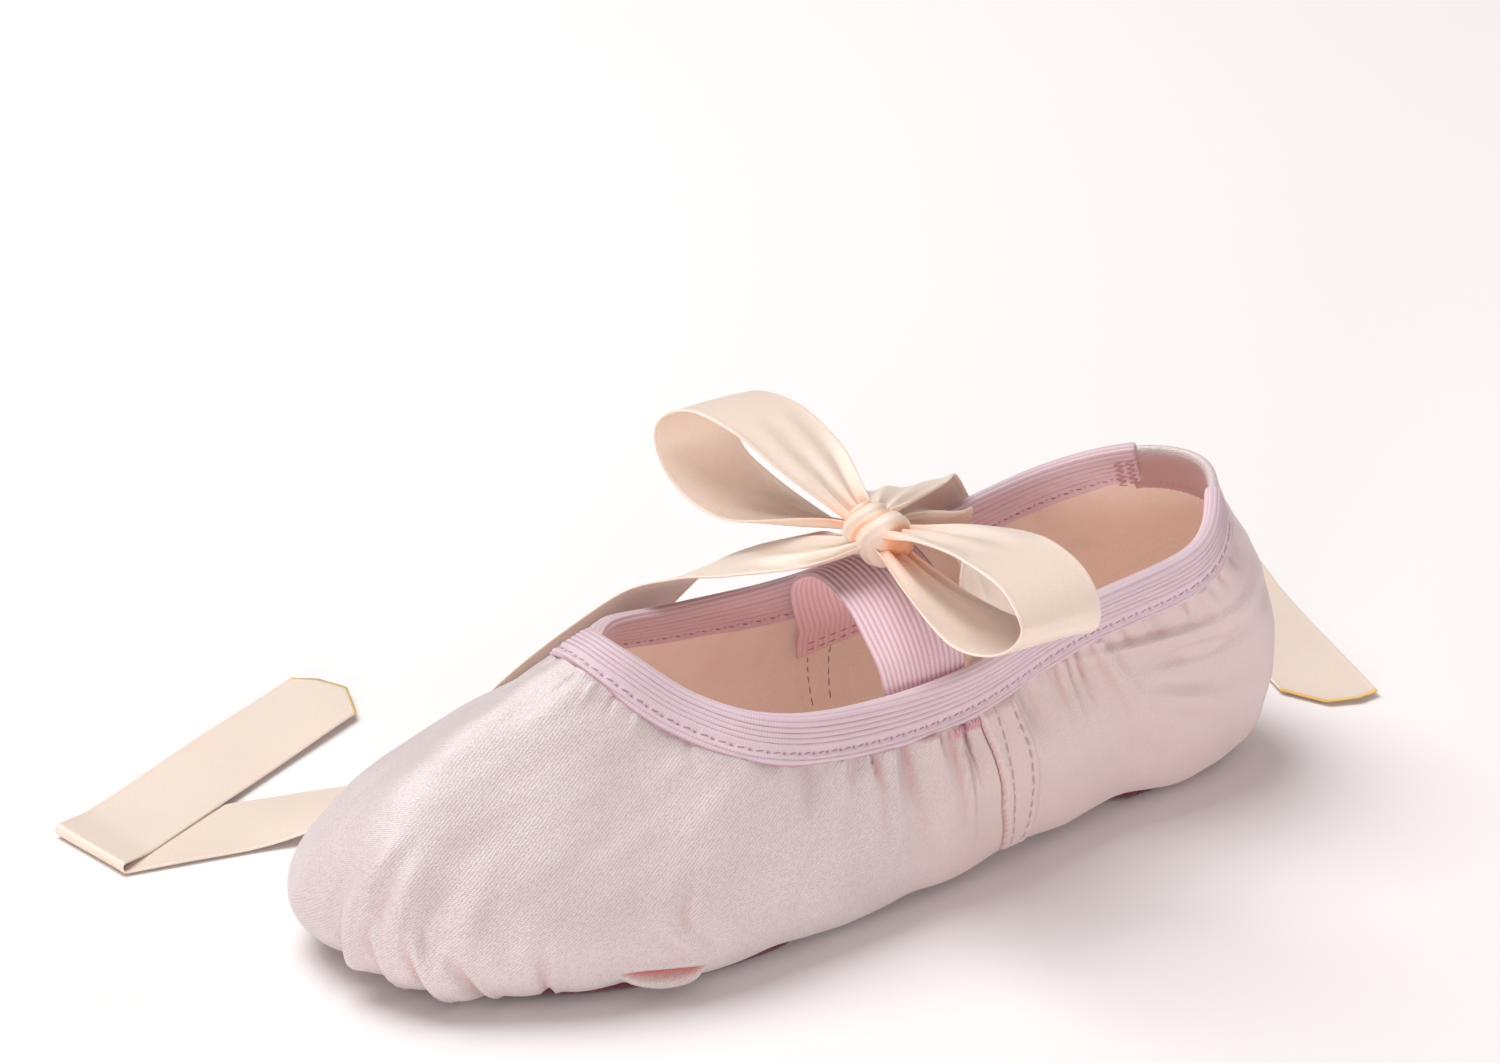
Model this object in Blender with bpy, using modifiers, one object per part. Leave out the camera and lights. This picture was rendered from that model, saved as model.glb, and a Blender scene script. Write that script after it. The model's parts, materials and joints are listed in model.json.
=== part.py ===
"""Split-sole ballet slipper: a satin upper gathered under the toe, two suede sole patches, an
insole, an elastic collar binding, an elastic instep strap and a tied pair of satin ribbons.

The slipper stands on z = 0 with its toe towards -X and its heel towards +X. Lengths below are in
millimetres, and each mesh is scaled to metres as it is made.
"""

import math
from collections import namedtuple

import bmesh
import bpy
import numpy as np

MM = 0.001

# Driving sizes of the last
LENGTH = 236.5
BALL_WIDTH = 88.0
HEEL_HEIGHT = 63.5

# Thicknesses and clearances
WALL = 1.4  # satin and its cotton lining
GAP = 0.3
FACET_ALLOWANCE = 0.12  # how far two faceted walls may lean towards each other
SUEDE = 1.6
SOCK = 1.6  # insole
ELASTIC = 0.9
FACING = 0.6
RIBBON = 0.4
BASE = SUEDE + GAP  # height of the satin where it is lapped over a sole patch

# Collar binding and facing
BINDING_OUTSIDE = 8.9
BINDING_INSIDE = 8.0
BINDING_END = 8.0  # section at which the binding stops, short of the back of the heel
FACING_HEIGHT = 11.0
FACING_START = 8.06

# Satin lapped under the last, and the arch where its two sides meet on the centre line
LAP = 9.0
ARCH_FRONT = -26.0
ARCH_BACK = 66.0
ARCH_TAPER = 1.7  # how fast the two sides come together, in mm across for each mm along
TOE_CENTRE = -60.0
HEEL_CENTRE = 84.0

STRAP_WIDTH = 21.0
STRAP_THICK = 1.2
RIBBON_WIDTH = 21.0

# The last, in percent: x of LENGTH from its middle, y of half BALL_WIDTH, z of HEEL_HEIGHT.
#   feather: where the satin turns under, spring: its rise above the sole in mm
#   side:    the widest line, lift: how upright the wall leaves it
#   rim:     the collar's edge, pull: the direction in which the wall reaches it
Section = namedtuple(
    "Section",
    "feather_x feather_y spring  side_x side_y side_z lift  rim_x rim_y rim_z  pull_x pull_y pull_z",
)
SECTIONS = [
    Section(-44.4, 0, 2.3, -50.0, 0, 25.5, 28, -22.5, 0, 91.0, 12.4, 0, 15),  # toe
    Section(-42.8, 35, 2.0, -47.4, 46, 21.0, 26, -21.7, 17, 88.5, 11.2, -7, 19),
    Section(-36.3, 64, 0.8, -38.7, 79, 18.5, 25, -18.2, 39, 78.5, 7.9, -16, 22),
    Section(-24.2, 84, 0.0, -24.2, 100, 21.5, 23, -13.3, 61, 73.0, 2.8, -19, 25),  # ball
    Section(-9.6, 82, 0.0, -10.4, 96, 25.5, 18, -5.0, 66, 69.0, 0.4, -10, 21),
    Section(7.2, 73, 0.6, 7.2, 83, 27.5, 15, 7.9, 63, 69.0, 0.0, 1, 18),  # waist
    Section(24.0, 55, 0.7, 24.2, 71, 30.0, 19, 20.5, 57, 79.0, -0.1, 5, 20),
    Section(37.7, 47, 0.0, 39.4, 63, 35.0, 23, 34.2, 56, 88.0, -1.4, 0, 21),
    Section(44.7, 30, 0.0, 47.7, 41, 39.0, 27, 40.7, 29, 98.0, -2.3, -5, 24),
    Section(46.3, 0, 0.0, 50.0, 0, 39.5, 27, 43.4, 0, 100.0, -2.1, 0, 25),  # heel
]
LAST = len(SECTIONS) - 1

# Gathers where the satin is drawn under the toe: the section each lies at, its half width in
# sections, and how far its fold stands out
Pleat = namedtuple("Pleat", "section half_width height")
PLEATS = [
    Pleat(0.25, 0.20, 1.0),
    Pleat(0.70, 0.22, 1.1),
    Pleat(1.15, 0.22, 1.2),
    Pleat(1.62, 0.22, 1.3),
    Pleat(2.10, 0.24, 1.2),
    Pleat(2.80, 0.34, 1.8),
    Pleat(3.45, 0.30, 0.9),
]

# Side seam: the quarter is lapped over the vamp in a raised band
SEAM_SECTION = 5.28
SEAM_HALF_WIDTH = 0.13
SEAM_HEIGHT = 0.6


def scaled_sections():
    """The table in millimetres, one row of 13 values for each section."""
    x, y, z = LENGTH / 100, BALL_WIDTH / 200, HEEL_HEIGHT / 100
    return np.array([
        (
            row.feather_x * x, row.feather_y * y, BASE + row.spring,
            row.side_x * x, row.side_y * y, row.side_z * z, row.lift * z,
            row.rim_x * x, row.rim_y * y, row.rim_z * z,
            row.pull_x * x, row.pull_y * y, row.pull_z * z,
        )
        for row in SECTIONS
    ])


ROWS = scaled_sections()
MIRRORED = np.array([1, -1, 1, 1, -1, 1, 1, 1, -1, 1, 1, -1, 1])


def catmull_rom(before, start, end, after, t):
    """The value a share t of the way from start to end, on a smooth curve through all four."""
    return 0.5 * (
        2 * start
        + (end - before) * t
        + (2 * before - 5 * start + 4 * end - after) * t**2
        + (3 * start - before - 3 * end + after) * t**3
    )


def sections_at(section):
    """The table's rows interpolated at each section number, smooth across both ends."""
    rows = np.vstack([ROWS[1] * MIRRORED, ROWS, ROWS[-2] * MIRRORED])
    section = np.clip(np.asarray(section, float), 0, LAST)
    first = np.minimum(section.astype(int), LAST - 1)
    t = (section - first)[:, None]
    return catmull_rom(rows[first], rows[first + 1], rows[first + 2], rows[first + 3], t)


def bezier(a, b, c, d, t):
    return a * (1 - t) ** 3 + 3 * b * t * (1 - t) ** 2 + 3 * c * t * t * (1 - t) + d * t**3


FEATHER_LINE = sections_at(np.linspace(0, LAST, 181))[:, 0:3]


def satin_height(x):
    """The height of the satin's underside along the feather line, for its toe spring and arch."""
    return np.interp(x, FEATHER_LINE[:, 0], FEATHER_LINE[:, 2])


def moved_inward(feather, distance):
    """The feather line moved towards the middle of the shoe, no further than the centre line."""
    target = np.zeros_like(feather)
    target[:, 0] = np.clip(feather[:, 0], TOE_CENTRE, HEEL_CENTRE)
    target[:, 2] = feather[:, 2]
    inward = target - feather
    depth = np.linalg.norm(inward, axis=1)
    moved = feather + inward * (np.minimum(distance, depth) / depth)[:, None]
    moved[:, 2] = satin_height(moved[:, 0])
    return moved


def lapped_edge(feather):
    """The inner edge of the satin lapped under the last: a margin, or the arch's centre line."""
    into_arch = np.minimum(feather[:, 0] - ARCH_FRONT, ARCH_BACK - feather[:, 0])
    return moved_inward(feather, LAP + np.clip(into_arch, 0, None) * ARCH_TAPER)


def bump(distance):
    """A smooth ridge, 1 at its crest and 0 from a distance of 1 on."""
    return np.where(np.abs(distance) < 1, np.cos(np.clip(distance, -1, 1) * math.pi / 2) ** 2, 0)


def skin(section, height):
    """Points of the satin's outer side, indexed [section, height].

    Height runs from -1, the lapped edge, over 0, the feather line, and 1, the widest line, to 2,
    the collar's edge."""
    rows = sections_at(section)
    feather, side, lift = rows[:, 0:3], rows[:, 3:6], rows[:, 6:7]
    rim, pull = rows[:, 7:10], rows[:, 10:13]
    up = np.array([0, 0, 1.0])
    outward = (side - feather) * (1, 1, 0)
    rise = up * (side - feather)[:, 2:3]
    height = np.asarray(height, float)

    under = np.clip(height + 1, 0, 1)[None, :, None]
    low = np.clip(height, 0, 1)[None, :, None]
    high = np.clip(height - 1, 0, 1)[None, :, None]
    lapped = lapped_edge(feather)[:, None]
    feather, outward, rise = feather[:, None], outward[:, None], rise[:, None]
    side, lift, rim, pull = side[:, None], lift[:, None], rim[:, None], pull[:, None]
    turn = bezier(feather, feather + 0.6 * outward, side - 0.55 * rise, side, low)
    wall = bezier(side, side + lift * up, rim - pull, rim, high)
    flat = lapped + (feather - lapped) * under
    level = height[None, :, None]
    return np.where(level < 0, flat, np.where(level < 1, turn, wall))


def outward_normals(section, height):
    """Unit normals of the skin, out of the shoe."""
    step = 0.004
    section, height = np.asarray(section, float), np.asarray(height, float)
    ahead, behind = np.clip(section + step, 0, LAST), np.clip(section - step, 0, LAST)
    along = skin(ahead, height) - skin(behind, height)
    above = np.where(height > 2 - step, 2, height + step)
    across = skin(section, above) - skin(section, above - 2 * step)
    normal = np.cross(across, along)
    on_plane = (section < step) | (section > LAST - step)
    normal[on_plane, :, 1] = 0
    return normal / np.linalg.norm(normal, axis=2, keepdims=True)


def relief(section, height):
    """How far the toe's gathers and the side seam stand out from the last, in millimetres."""
    section = np.asarray(section, float)[:, None]
    height = np.asarray(height, float)[None, :]
    near_floor = bump((height - 0.5) / 0.5)
    pleats = sum(p.height * bump((section - p.section) / p.half_width) for p in PLEATS)
    across_seam = np.clip(1.6 - np.abs(section - SEAM_SECTION) / SEAM_HALF_WIDTH * 0.9, 0, 1)
    up_seam = np.clip(height / 0.4, 0, 1) * np.clip((1.55 - height) / 0.1, 0, 1)
    return near_floor * (pleats - 0.4 * (section < 3.9)) + SEAM_HEIGHT * across_seam * up_seam


def below_rim(section, depth):
    """Points of the plain skin at each depth below the rim, and the normals there."""
    fine = np.linspace(1, 2, 41)
    wall = skin(section, fine)[:, ::-1]
    normals = outward_normals(section, fine)[:, ::-1]
    steps = np.linalg.norm(np.diff(wall, axis=1), axis=2)
    arc = np.concatenate([np.zeros((len(wall), 1)), np.cumsum(steps, axis=1)], axis=1)
    points = np.empty((len(wall), len(depth), 3))
    out = np.empty_like(points)
    for row in range(len(wall)):
        for axis in range(3):
            points[row, :, axis] = np.interp(depth, arc[row], wall[row, :, axis])
            out[row, :, axis] = np.interp(depth, arc[row], normals[row, :, axis])
    return points, out / np.linalg.norm(out, axis=2, keepdims=True)


def material(name, colour, roughness, sheen=0.0):
    made = bpy.data.materials.new(name)
    made.use_nodes = True
    shader = made.node_tree.nodes["Principled BSDF"]
    shader.inputs["Base Color"].default_value = (*colour, 1)
    shader.inputs["Roughness"].default_value = roughness
    shader.inputs["Metallic"].default_value = 0.0
    shader.inputs["Sheen Weight"].default_value = sheen
    return made


def sheet(name, points, made_of, flip=False):
    """An object with one grid of faces through points, indexed [along, across]."""
    rows, columns = points.shape[:2]
    bm = bmesh.new()
    bmesh.ops.create_grid(bm, x_segments=rows - 1, y_segments=columns - 1, size=1)
    for vert in bm.verts:
        row = round((vert.co.x + 1) / 2 * (rows - 1))
        column = round((vert.co.y + 1) / 2 * (columns - 1))
        vert.co = points[row, column] * MM
    if flip:
        bmesh.ops.reverse_faces(bm, faces=bm.faces)
    mesh = bpy.data.meshes.new(name)
    bm.to_mesh(mesh)
    bm.free()
    mesh.materials.append(made_of)
    mesh.shade_smooth()
    obj = bpy.data.objects.new(name, mesh)
    slipper.objects.link(obj)
    return obj


def mirror(obj):
    modifier = obj.modifiers.new("other side", "MIRROR")
    modifier.use_axis = (False, True, False)
    modifier.merge_threshold = 0.00001


def thicken(obj, thickness, offset):
    """A wall: offset -1 puts it behind the sheet's faces, 1 before them and 0 on both sides."""
    modifier = obj.modifiers.new("wall", "SOLIDIFY")
    modifier.thickness = thickness * MM
    modifier.offset = offset


def make_upper():
    """One hollow wall, open at the collar and under the forefoot and the heel."""
    toe = np.linspace(0, 3.9, 31)
    side = np.linspace(4.1, 5.0, 6)
    seam = SEAM_SECTION + SEAM_HALF_WIDTH * np.array([-1.4, -0.7, 0.7, 1.4])
    quarter = np.linspace(5.7, 9, 17)
    section = np.concatenate([toe, side, seam, quarter])
    height = [-1, -0.5, 0, 0.18, 0.4, 0.65, 0.9, 1.15, 1.4, 1.62, 1.82, 2]
    points = skin(section, height)
    normals = outward_normals(section, height)
    points = points + normals * relief(section, height)[..., None]
    points[0, :, 1] = 0
    points[-1, :, 1] = 0
    satin = material("pink satin", (0.78, 0.62, 0.61), 0.42, 0.3)
    upper = sheet("upper", points, satin, flip=True)
    mirror(upper)
    thicken(upper, WALL, -1)


def make_binding():
    """Elastic folded over the collar's edge, as one U-shaped wall."""
    throat = np.linspace(0, 4, 23)
    sides = np.linspace(4.5, 6.5, 5)
    heel = np.linspace(6.8, BINDING_END, 7)
    section = np.concatenate([throat, sides, heel])
    outside, normals = below_rim(section, np.linspace(BINDING_OUTSIDE, 0, 3))
    inside, inner_normals = below_rim(section, np.linspace(0, BINDING_INSIDE, 3))
    rim, out = outside[:, -1], normals[:, -1]
    up = outside[:, -1] - outside[:, -2]
    up = up / np.linalg.norm(up, axis=1, keepdims=True)
    clear = GAP + FACET_ALLOWANCE
    half = WALL / 2 + clear
    fold = [
        rim + out * (half * math.cos(a) - WALL / 2) + up * half * math.sin(a)
        for a in np.radians([40, 90, 140])
    ]
    points = np.concatenate(
        [outside + normals * clear, np.stack(fold, axis=1), inside - inner_normals * (WALL + clear)],
        axis=1,
    )
    points[0, :, 1] = 0
    elastic = material("pink elastic", (0.75, 0.55, 0.62), 0.7)
    binding = sheet("collar_binding", points, elastic, flip=True)
    mirror(binding)
    thicken(binding, ELASTIC, 1)


def make_facing():
    """The satin folded in at the back of the heel, inside the wall."""
    section = np.linspace(FACING_START, 9, 8)
    points, normals = below_rim(section, np.linspace(FACING_HEIGHT, 0.2, 4))
    points = points - normals * (WALL + GAP)
    points[-1, :, 1] = 0
    lining = material("satin facing", (0.78, 0.60, 0.58), 0.42)
    facing = sheet("heel_facing", points, lining, flip=True)
    mirror(facing)
    thicken(facing, FACING, -1)


def sole_plate(name, ends, inset, bottom, thickness, rounding, made_of):
    """A flat piece inside the feather line between two ends, which may be None for the last's own.

    Rounding gives the length over which the front and the back end draw in."""
    line = moved_inward(FEATHER_LINE, inset)
    front = line[0, 0] + 0.2 if ends[0] is None else ends[0]
    back = line[-1, 0] - 0.2 if ends[1] is None else ends[1]
    x = (front + back) / 2 - (back - front) / 2 * np.cos(np.linspace(0.06, math.pi - 0.06, 25))
    half = np.interp(x, line[:, 0], line[:, 1])
    for length, distance in zip(rounding, (x - front, back - x)):
        if length:
            share = np.clip(distance / length, 0, 1)
            half = np.minimum(half, half.max() * np.sqrt(1 - (1 - share) ** 2))
    across = np.linspace(-1, 1, 5)
    points = np.empty((len(x), len(across), 3))
    points[..., 0] = x[:, None]
    points[..., 1] = half[:, None] * across
    points[..., 2] = (bottom + np.clip(satin_height(x) - BASE, 0, None))[:, None]
    thicken(sheet(name, points, made_of), thickness, 1)


def make_soles():
    suede = material("mauve suede", (0.23, 0.10, 0.12), 0.95, 0.2)
    sole_plate("forefoot_sole", (None, -6), 1.0, 0, SUEDE, (0, 34), suede)
    sole_plate("heel_sole", (56, None), 1.0, 0, SUEDE, (22, 0), suede)
    sock = material("cotton sock", (0.60, 0.42, 0.34), 0.9)
    sole_plate("insole", (None, None), 0.2, BASE + WALL + GAP, SOCK, (0, 0), sock)


# A band's route: a point on its middle line, the direction that its face looks in, and the share
# of its width that it spreads over
Stop = namedtuple("Stop", "x y z  face_x face_y face_z  spread")


def band_points(stops, width, pieces):
    """The two edges of a flat band, indexed [along, edge]."""
    table = np.array(stops, float)
    ends = np.vstack([2 * table[0] - table[1], table, 2 * table[-1] - table[-2]])
    share = np.arange(pieces) / pieces
    route = [
        catmull_rom(ends[i], ends[i + 1], ends[i + 2], ends[i + 3], t)
        for i in range(len(table) - 1)
        for t in share
    ]
    route = np.array([*route, table[-1]])
    middle, face, spread = route[:, :3], route[:, 3:6], route[:, 6]
    along = np.gradient(middle, axis=0)
    side = np.cross(face, along)
    side /= np.linalg.norm(side, axis=1, keepdims=True)
    across = np.array([-width / 2, width / 2])
    return middle[:, None] + side[:, None] * (across[None, :] * spread[:, None])[..., None]


def folded(points, crease, angle, radius):
    """Points on a level band, turned over where they pass a crease line.

    The crease runs through a point of the floor at an angle from the X axis, and the part of the
    band on its left lies on top, two radii higher."""
    normal = np.array([-math.sin(angle), math.cos(angle), 0])
    past = (points - np.array([*crease, 0])) @ normal
    bend = math.pi * radius
    turn = np.clip(past, 0, bend) / radius
    moved = radius * np.sin(turn) - np.clip(past - bend, 0, None) - np.clip(past, 0, None)
    out = points + moved[..., None] * normal
    out[..., 2] += radius * (1 - np.cos(turn))
    return out


def band(name, points, thickness, made_of):
    thicken(sheet(name, points, made_of), thickness, 0)


STRAP = [
    Stop(10.0, -31.9, 25, 0.13, -1, 0.40, 1),
    Stop(10.0, -29.7, 30, 0.13, -1, 0.45, 1),
    Stop(10.0, -25.3, 36.5, 0.10, -1, 0.30, 1),
    Stop(10.2, -24.4, 42, 0.06, -1, 0.15, 1),
    Stop(10.8, -22.2, 47, -0.05, -1, 0.60, 1),
    Stop(12.2, -16.5, 52, -0.25, -0.6, 1, 1),
    Stop(14.5, -7.0, 56.2, -0.30, -0.2, 1, 1),
    Stop(17.0, 4.0, 57.2, -0.30, 0.05, 1, 1),
    Stop(19.3, 13.2, 54.8, -0.25, 0.35, 1, 1),
    Stop(21.2, 20.1, 49.5, -0.05, 1, 0.8, 1),
    Stop(23.5, 22.8, 43.5, 0.08, 1, 0.2, 1),
    Stop(26.5, 23.3, 36.5, 0.12, 1, 0.30, 1),
    Stop(29.0, 26.2, 31.5, 0.13, 1, 0.50, 1),
    Stop(31.5, 29.3, 26, 0.13, 1, 0.40, 1),
]


def make_strap():
    elastic = material("strap elastic", (0.76, 0.56, 0.64), 0.7)
    band("instep_strap", band_points(STRAP, STRAP_WIDTH, 3), STRAP_THICK, elastic)


KNOT_CENTRE = (15.5, 0, 65.7)
KNOT_SIZE = (15, 21.5, 17)

NEAR_LEG = [
    Stop(33.5, -30.8, 24, 0.13, -1, 0.35, 1),
    Stop(33.5, -27.8, 30, 0.13, -1, 0.50, 1),
    Stop(33.5, -24.0, 35.5, 0.12, -1, 0.35, 1),
    Stop(33.5, -22.4, 42, 0.10, -1, 0.15, 1),
    Stop(33.5, -20.6, 48, 0, -1, 0.40, 1),
    Stop(33.0, -15.5, 55.5, 0.2, -0.9, 0.8, 0.95),
    Stop(30.5, -9.3, 62.5, 0.6, -0.5, 0.9, 0.7),
    Stop(21.9, -4.8, 66, 0.6, -0.2, 1, 0.38),
]
FAR_LEG = [
    Stop(55.5, 27.1, 26, 0.10, 1, 0.30, 1),
    Stop(53.2, 26.1, 31, 0.10, 1, 0.40, 1),
    Stop(50.6, 23.0, 36.5, 0.08, 1, 0.35, 1),
    Stop(47.8, 21.2, 41.5, 0.05, 1, 0.15, 1),
    Stop(45.2, 20.6, 47, 0.02, 1, 0.30, 1),
    Stop(42.5, 17.8, 52.5, 0.2, 1, 0.60, 1),
    Stop(39.0, 12.8, 58.5, 0.3, 0.9, 0.8, 0.95),
    Stop(32.5, 7.8, 63.5, 0.6, 0.5, 0.9, 0.7),
    Stop(21.9, 4.8, 67, 0.6, 0.2, 1, 0.38),
]
NEAR_LOOP = [
    Stop(14.5, -8.9, 64.2, -0.3, 0, -1, 0.45),
    Stop(14.0, -22.0, 61.5, -0.2, 0, -1, 0.85),
    Stop(14.0, -38.0, 59.5, 0, 0, -1, 1),
    Stop(15.0, -50.0, 61.5, 0, -0.5, -1, 1),
    Stop(16.5, -57.0, 67.5, 0, -1, 0, 1),
    Stop(17.5, -50.5, 74.5, 0, -0.5, 1, 1),
    Stop(17.5, -37.0, 76.5, 0, 0, 1, 1),
    Stop(17.0, -22.0, 74.0, 0, 0.2, 1, 0.85),
    Stop(16.0, -8.9, 69.4, 0, 0.2, 1, 0.45),
]
FAR_LOOP = [
    Stop(14.0, 8.9, 64.6, -0.3, 0, -1, 0.45),
    Stop(11.0, 21.0, 62.5, -0.2, 0.1, -1, 0.85),
    Stop(7.5, 34.0, 62.5, 0, 0.3, -1, 1),
    Stop(5.5, 45.0, 66.5, 0, 0.8, -0.8, 1),
    Stop(5.5, 50.0, 74.0, 0, 1, 0, 1),
    Stop(7.0, 44.0, 80.5, 0, 0.5, 1, 1),
    Stop(10.0, 32.0, 80.5, 0, -0.1, 1, 1),
    Stop(13.0, 19.5, 75.5, 0, -0.3, 1, 0.85),
    Stop(15.0, 8.9, 69.8, 0, -0.3, 1, 0.45),
]
FRONT_END = [
    Stop(7.3, 3.9, 63.3, -0.8, 0.2, 1, 0.45),
    Stop(3.0, 11.0, 60.0, -0.5, 0.4, 1, 0.8),
    Stop(-2.5, 20.0, 56.0, -0.3, 0.6, 1, 1),
    Stop(-8.0, 28.5, 51.5, -0.2, 0.8, 0.9, 1),
    Stop(-15.0, 35.8, 44.0, -0.1, 1, 0.5, 1),
    Stop(-26.0, 42.8, 32.0, -0.1, 1, 0.3, 1),
    Stop(-39.0, 48.0, 20.0, -0.1, 1, 0.25, 1),
    Stop(-53.0, 53.0, 10.5, -0.1, 0.8, 0.8, 1),
    Stop(-70.0, 58.0, 3.9, 0, 0.35, 1, 1),
    Stop(-92.0, 62.0, 1.0, 0, 0.05, 1, 1),
    Stop(-115.0, 66.0, 0.9, 0, 0, 1, 1),
    Stop(-150.0, 72.0, 0.9, 0, 0, 1, 1),
    Stop(-190.0, 79.0, 0.9, 0, 0, 1, 1),
    Stop(-222.0, 84.5, 0.9, 0, 0, 1, 1),
]
BACK_END = [
    Stop(21.3, 3.4, 70.8, 0.5, 0.4, 1, 0.45),
    Stop(31.5, 12.6, 67.8, 0.3, 0.6, 1, 0.8),
    Stop(40.5, 22.5, 62.0, 0.2, 0.8, 1, 1),
    Stop(50.0, 30.0, 53.8, 0.1, 1, 0.8, 1),
    Stop(59.0, 34.0, 43.0, 0.1, 1, 0.35, 1),
    Stop(71.0, 38.2, 31.0, 0.1, 1, 0.3, 1),
    Stop(84.0, 42.5, 20.0, 0.1, 1, 0.35, 1),
    Stop(98.0, 47.5, 10.5, 0.1, 0.8, 0.8, 1),
    Stop(114.0, 52.5, 3.9, 0, 0.35, 1, 1),
    Stop(134.0, 57.0, 1.0, 0, 0.05, 1, 1),
    Stop(160.0, 61.0, 0.9, 0, 0, 1, 1),
    Stop(200.0, 67.0, 0.9, 0, 0, 1, 1),
    Stop(240.0, 73.0, 0.9, 0, 0, 1, 1),
]
FRONT_CREASE = (-128, 68)
FRONT_CREASE_ANGLE = math.radians(97)
BACK_CREASE = (163, 61)
BACK_CREASE_ANGLE = math.radians(-50)
FOLD_RADIUS = 1.0


def make_ribbons():
    satin = material("peach satin ribbon", (0.93, 0.76, 0.62), 0.35, 0.3)
    for name, stops in (
        ("ribbon_near_leg", NEAR_LEG),
        ("ribbon_far_leg", FAR_LEG),
        ("ribbon_near_loop", NEAR_LOOP),
        ("ribbon_far_loop", FAR_LOOP),
    ):
        band(name, band_points(stops, RIBBON_WIDTH, 3), RIBBON, satin)
    front = band_points(FRONT_END, RIBBON_WIDTH, 3)
    front = folded(front, FRONT_CREASE, FRONT_CREASE_ANGLE, FOLD_RADIUS)
    band("ribbon_front_end", front, RIBBON, satin)
    back = band_points(BACK_END, RIBBON_WIDTH, 3)
    back = folded(back, BACK_CREASE, BACK_CREASE_ANGLE, FOLD_RADIUS)
    band("ribbon_back_end", back, RIBBON, satin)

    bm = bmesh.new()
    bmesh.ops.create_cube(bm, size=1)
    for vert in bm.verts:
        vert.co = [(c + s * v) * MM for c, s, v in zip(KNOT_CENTRE, KNOT_SIZE, vert.co)]
    mesh = bpy.data.meshes.new("ribbon_knot")
    bm.to_mesh(mesh)
    bm.free()
    mesh.materials.append(satin)
    mesh.shade_smooth()
    knot = bpy.data.objects.new("ribbon_knot", mesh)
    slipper.objects.link(knot)
    rounding = knot.modifiers.new("rounding", "SUBSURF")
    rounding.levels = 2
    rounding.render_levels = 2


def clear_scene():
    for obj in list(bpy.data.objects):
        bpy.data.objects.remove(obj)


clear_scene()
slipper = bpy.data.collections.new("ballet slipper")
bpy.context.scene.collection.children.link(slipper)
make_upper()
make_soles()
make_binding()
make_facing()
make_strap()
make_ribbons()
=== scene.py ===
"""Looks for the ballet slipper: a gathered satin upper with its lining, a ribbed elastic collar
binding and instep strap, suede sole patches, stitching, and a bow of satin ribbon.

The slipper stands on z = 0 with its toe towards -X and its heel towards +X. Lengths below are in
millimetres, and each mesh is scaled to metres as it is made.
"""

import json
import math
from collections import namedtuple

import bmesh
import bpy
import numpy as np
from mathutils import Matrix, Vector

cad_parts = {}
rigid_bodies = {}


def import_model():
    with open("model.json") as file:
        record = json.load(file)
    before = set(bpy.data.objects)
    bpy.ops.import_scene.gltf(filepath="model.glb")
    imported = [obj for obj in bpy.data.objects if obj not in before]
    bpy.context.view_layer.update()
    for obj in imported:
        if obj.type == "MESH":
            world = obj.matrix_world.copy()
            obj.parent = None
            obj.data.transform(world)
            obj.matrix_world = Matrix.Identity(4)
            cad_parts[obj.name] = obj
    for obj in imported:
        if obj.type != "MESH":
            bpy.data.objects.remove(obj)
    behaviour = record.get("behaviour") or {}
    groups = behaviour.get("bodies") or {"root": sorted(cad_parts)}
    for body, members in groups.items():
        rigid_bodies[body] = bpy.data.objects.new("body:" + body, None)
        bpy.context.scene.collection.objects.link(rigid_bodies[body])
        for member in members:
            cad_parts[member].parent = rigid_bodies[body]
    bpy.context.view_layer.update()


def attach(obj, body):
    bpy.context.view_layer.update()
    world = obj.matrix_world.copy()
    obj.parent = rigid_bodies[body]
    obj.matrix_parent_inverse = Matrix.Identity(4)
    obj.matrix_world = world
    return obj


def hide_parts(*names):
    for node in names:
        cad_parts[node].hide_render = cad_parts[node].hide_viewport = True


MM = 0.001

for obj in list(bpy.data.objects):
    bpy.data.objects.remove(obj)
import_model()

# ---------------------------------------------------------------- sizes, as in the part's source

LENGTH = 236.5
BALL_WIDTH = 88.0
HEEL_HEIGHT = 63.5
WALL = 1.4
GAP = 0.3
SUEDE = 1.6
SOCK = 1.6
BASE = SUEDE + GAP
BINDING_OUTSIDE = 8.9
BINDING_INSIDE = 8.0
BINDING_END = 8.0
FACING_HEIGHT = 11.0
FACING_HEM = 1.7
LAP = 9.0
ARCH_FRONT = -26.0
ARCH_BACK = 66.0
ARCH_TAPER = 1.7
TOE_CENTRE = -60.0
HEEL_CENTRE = 84.0
STRAP_WIDTH = 21.0
RIBBON_WIDTH = 21.0

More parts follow.
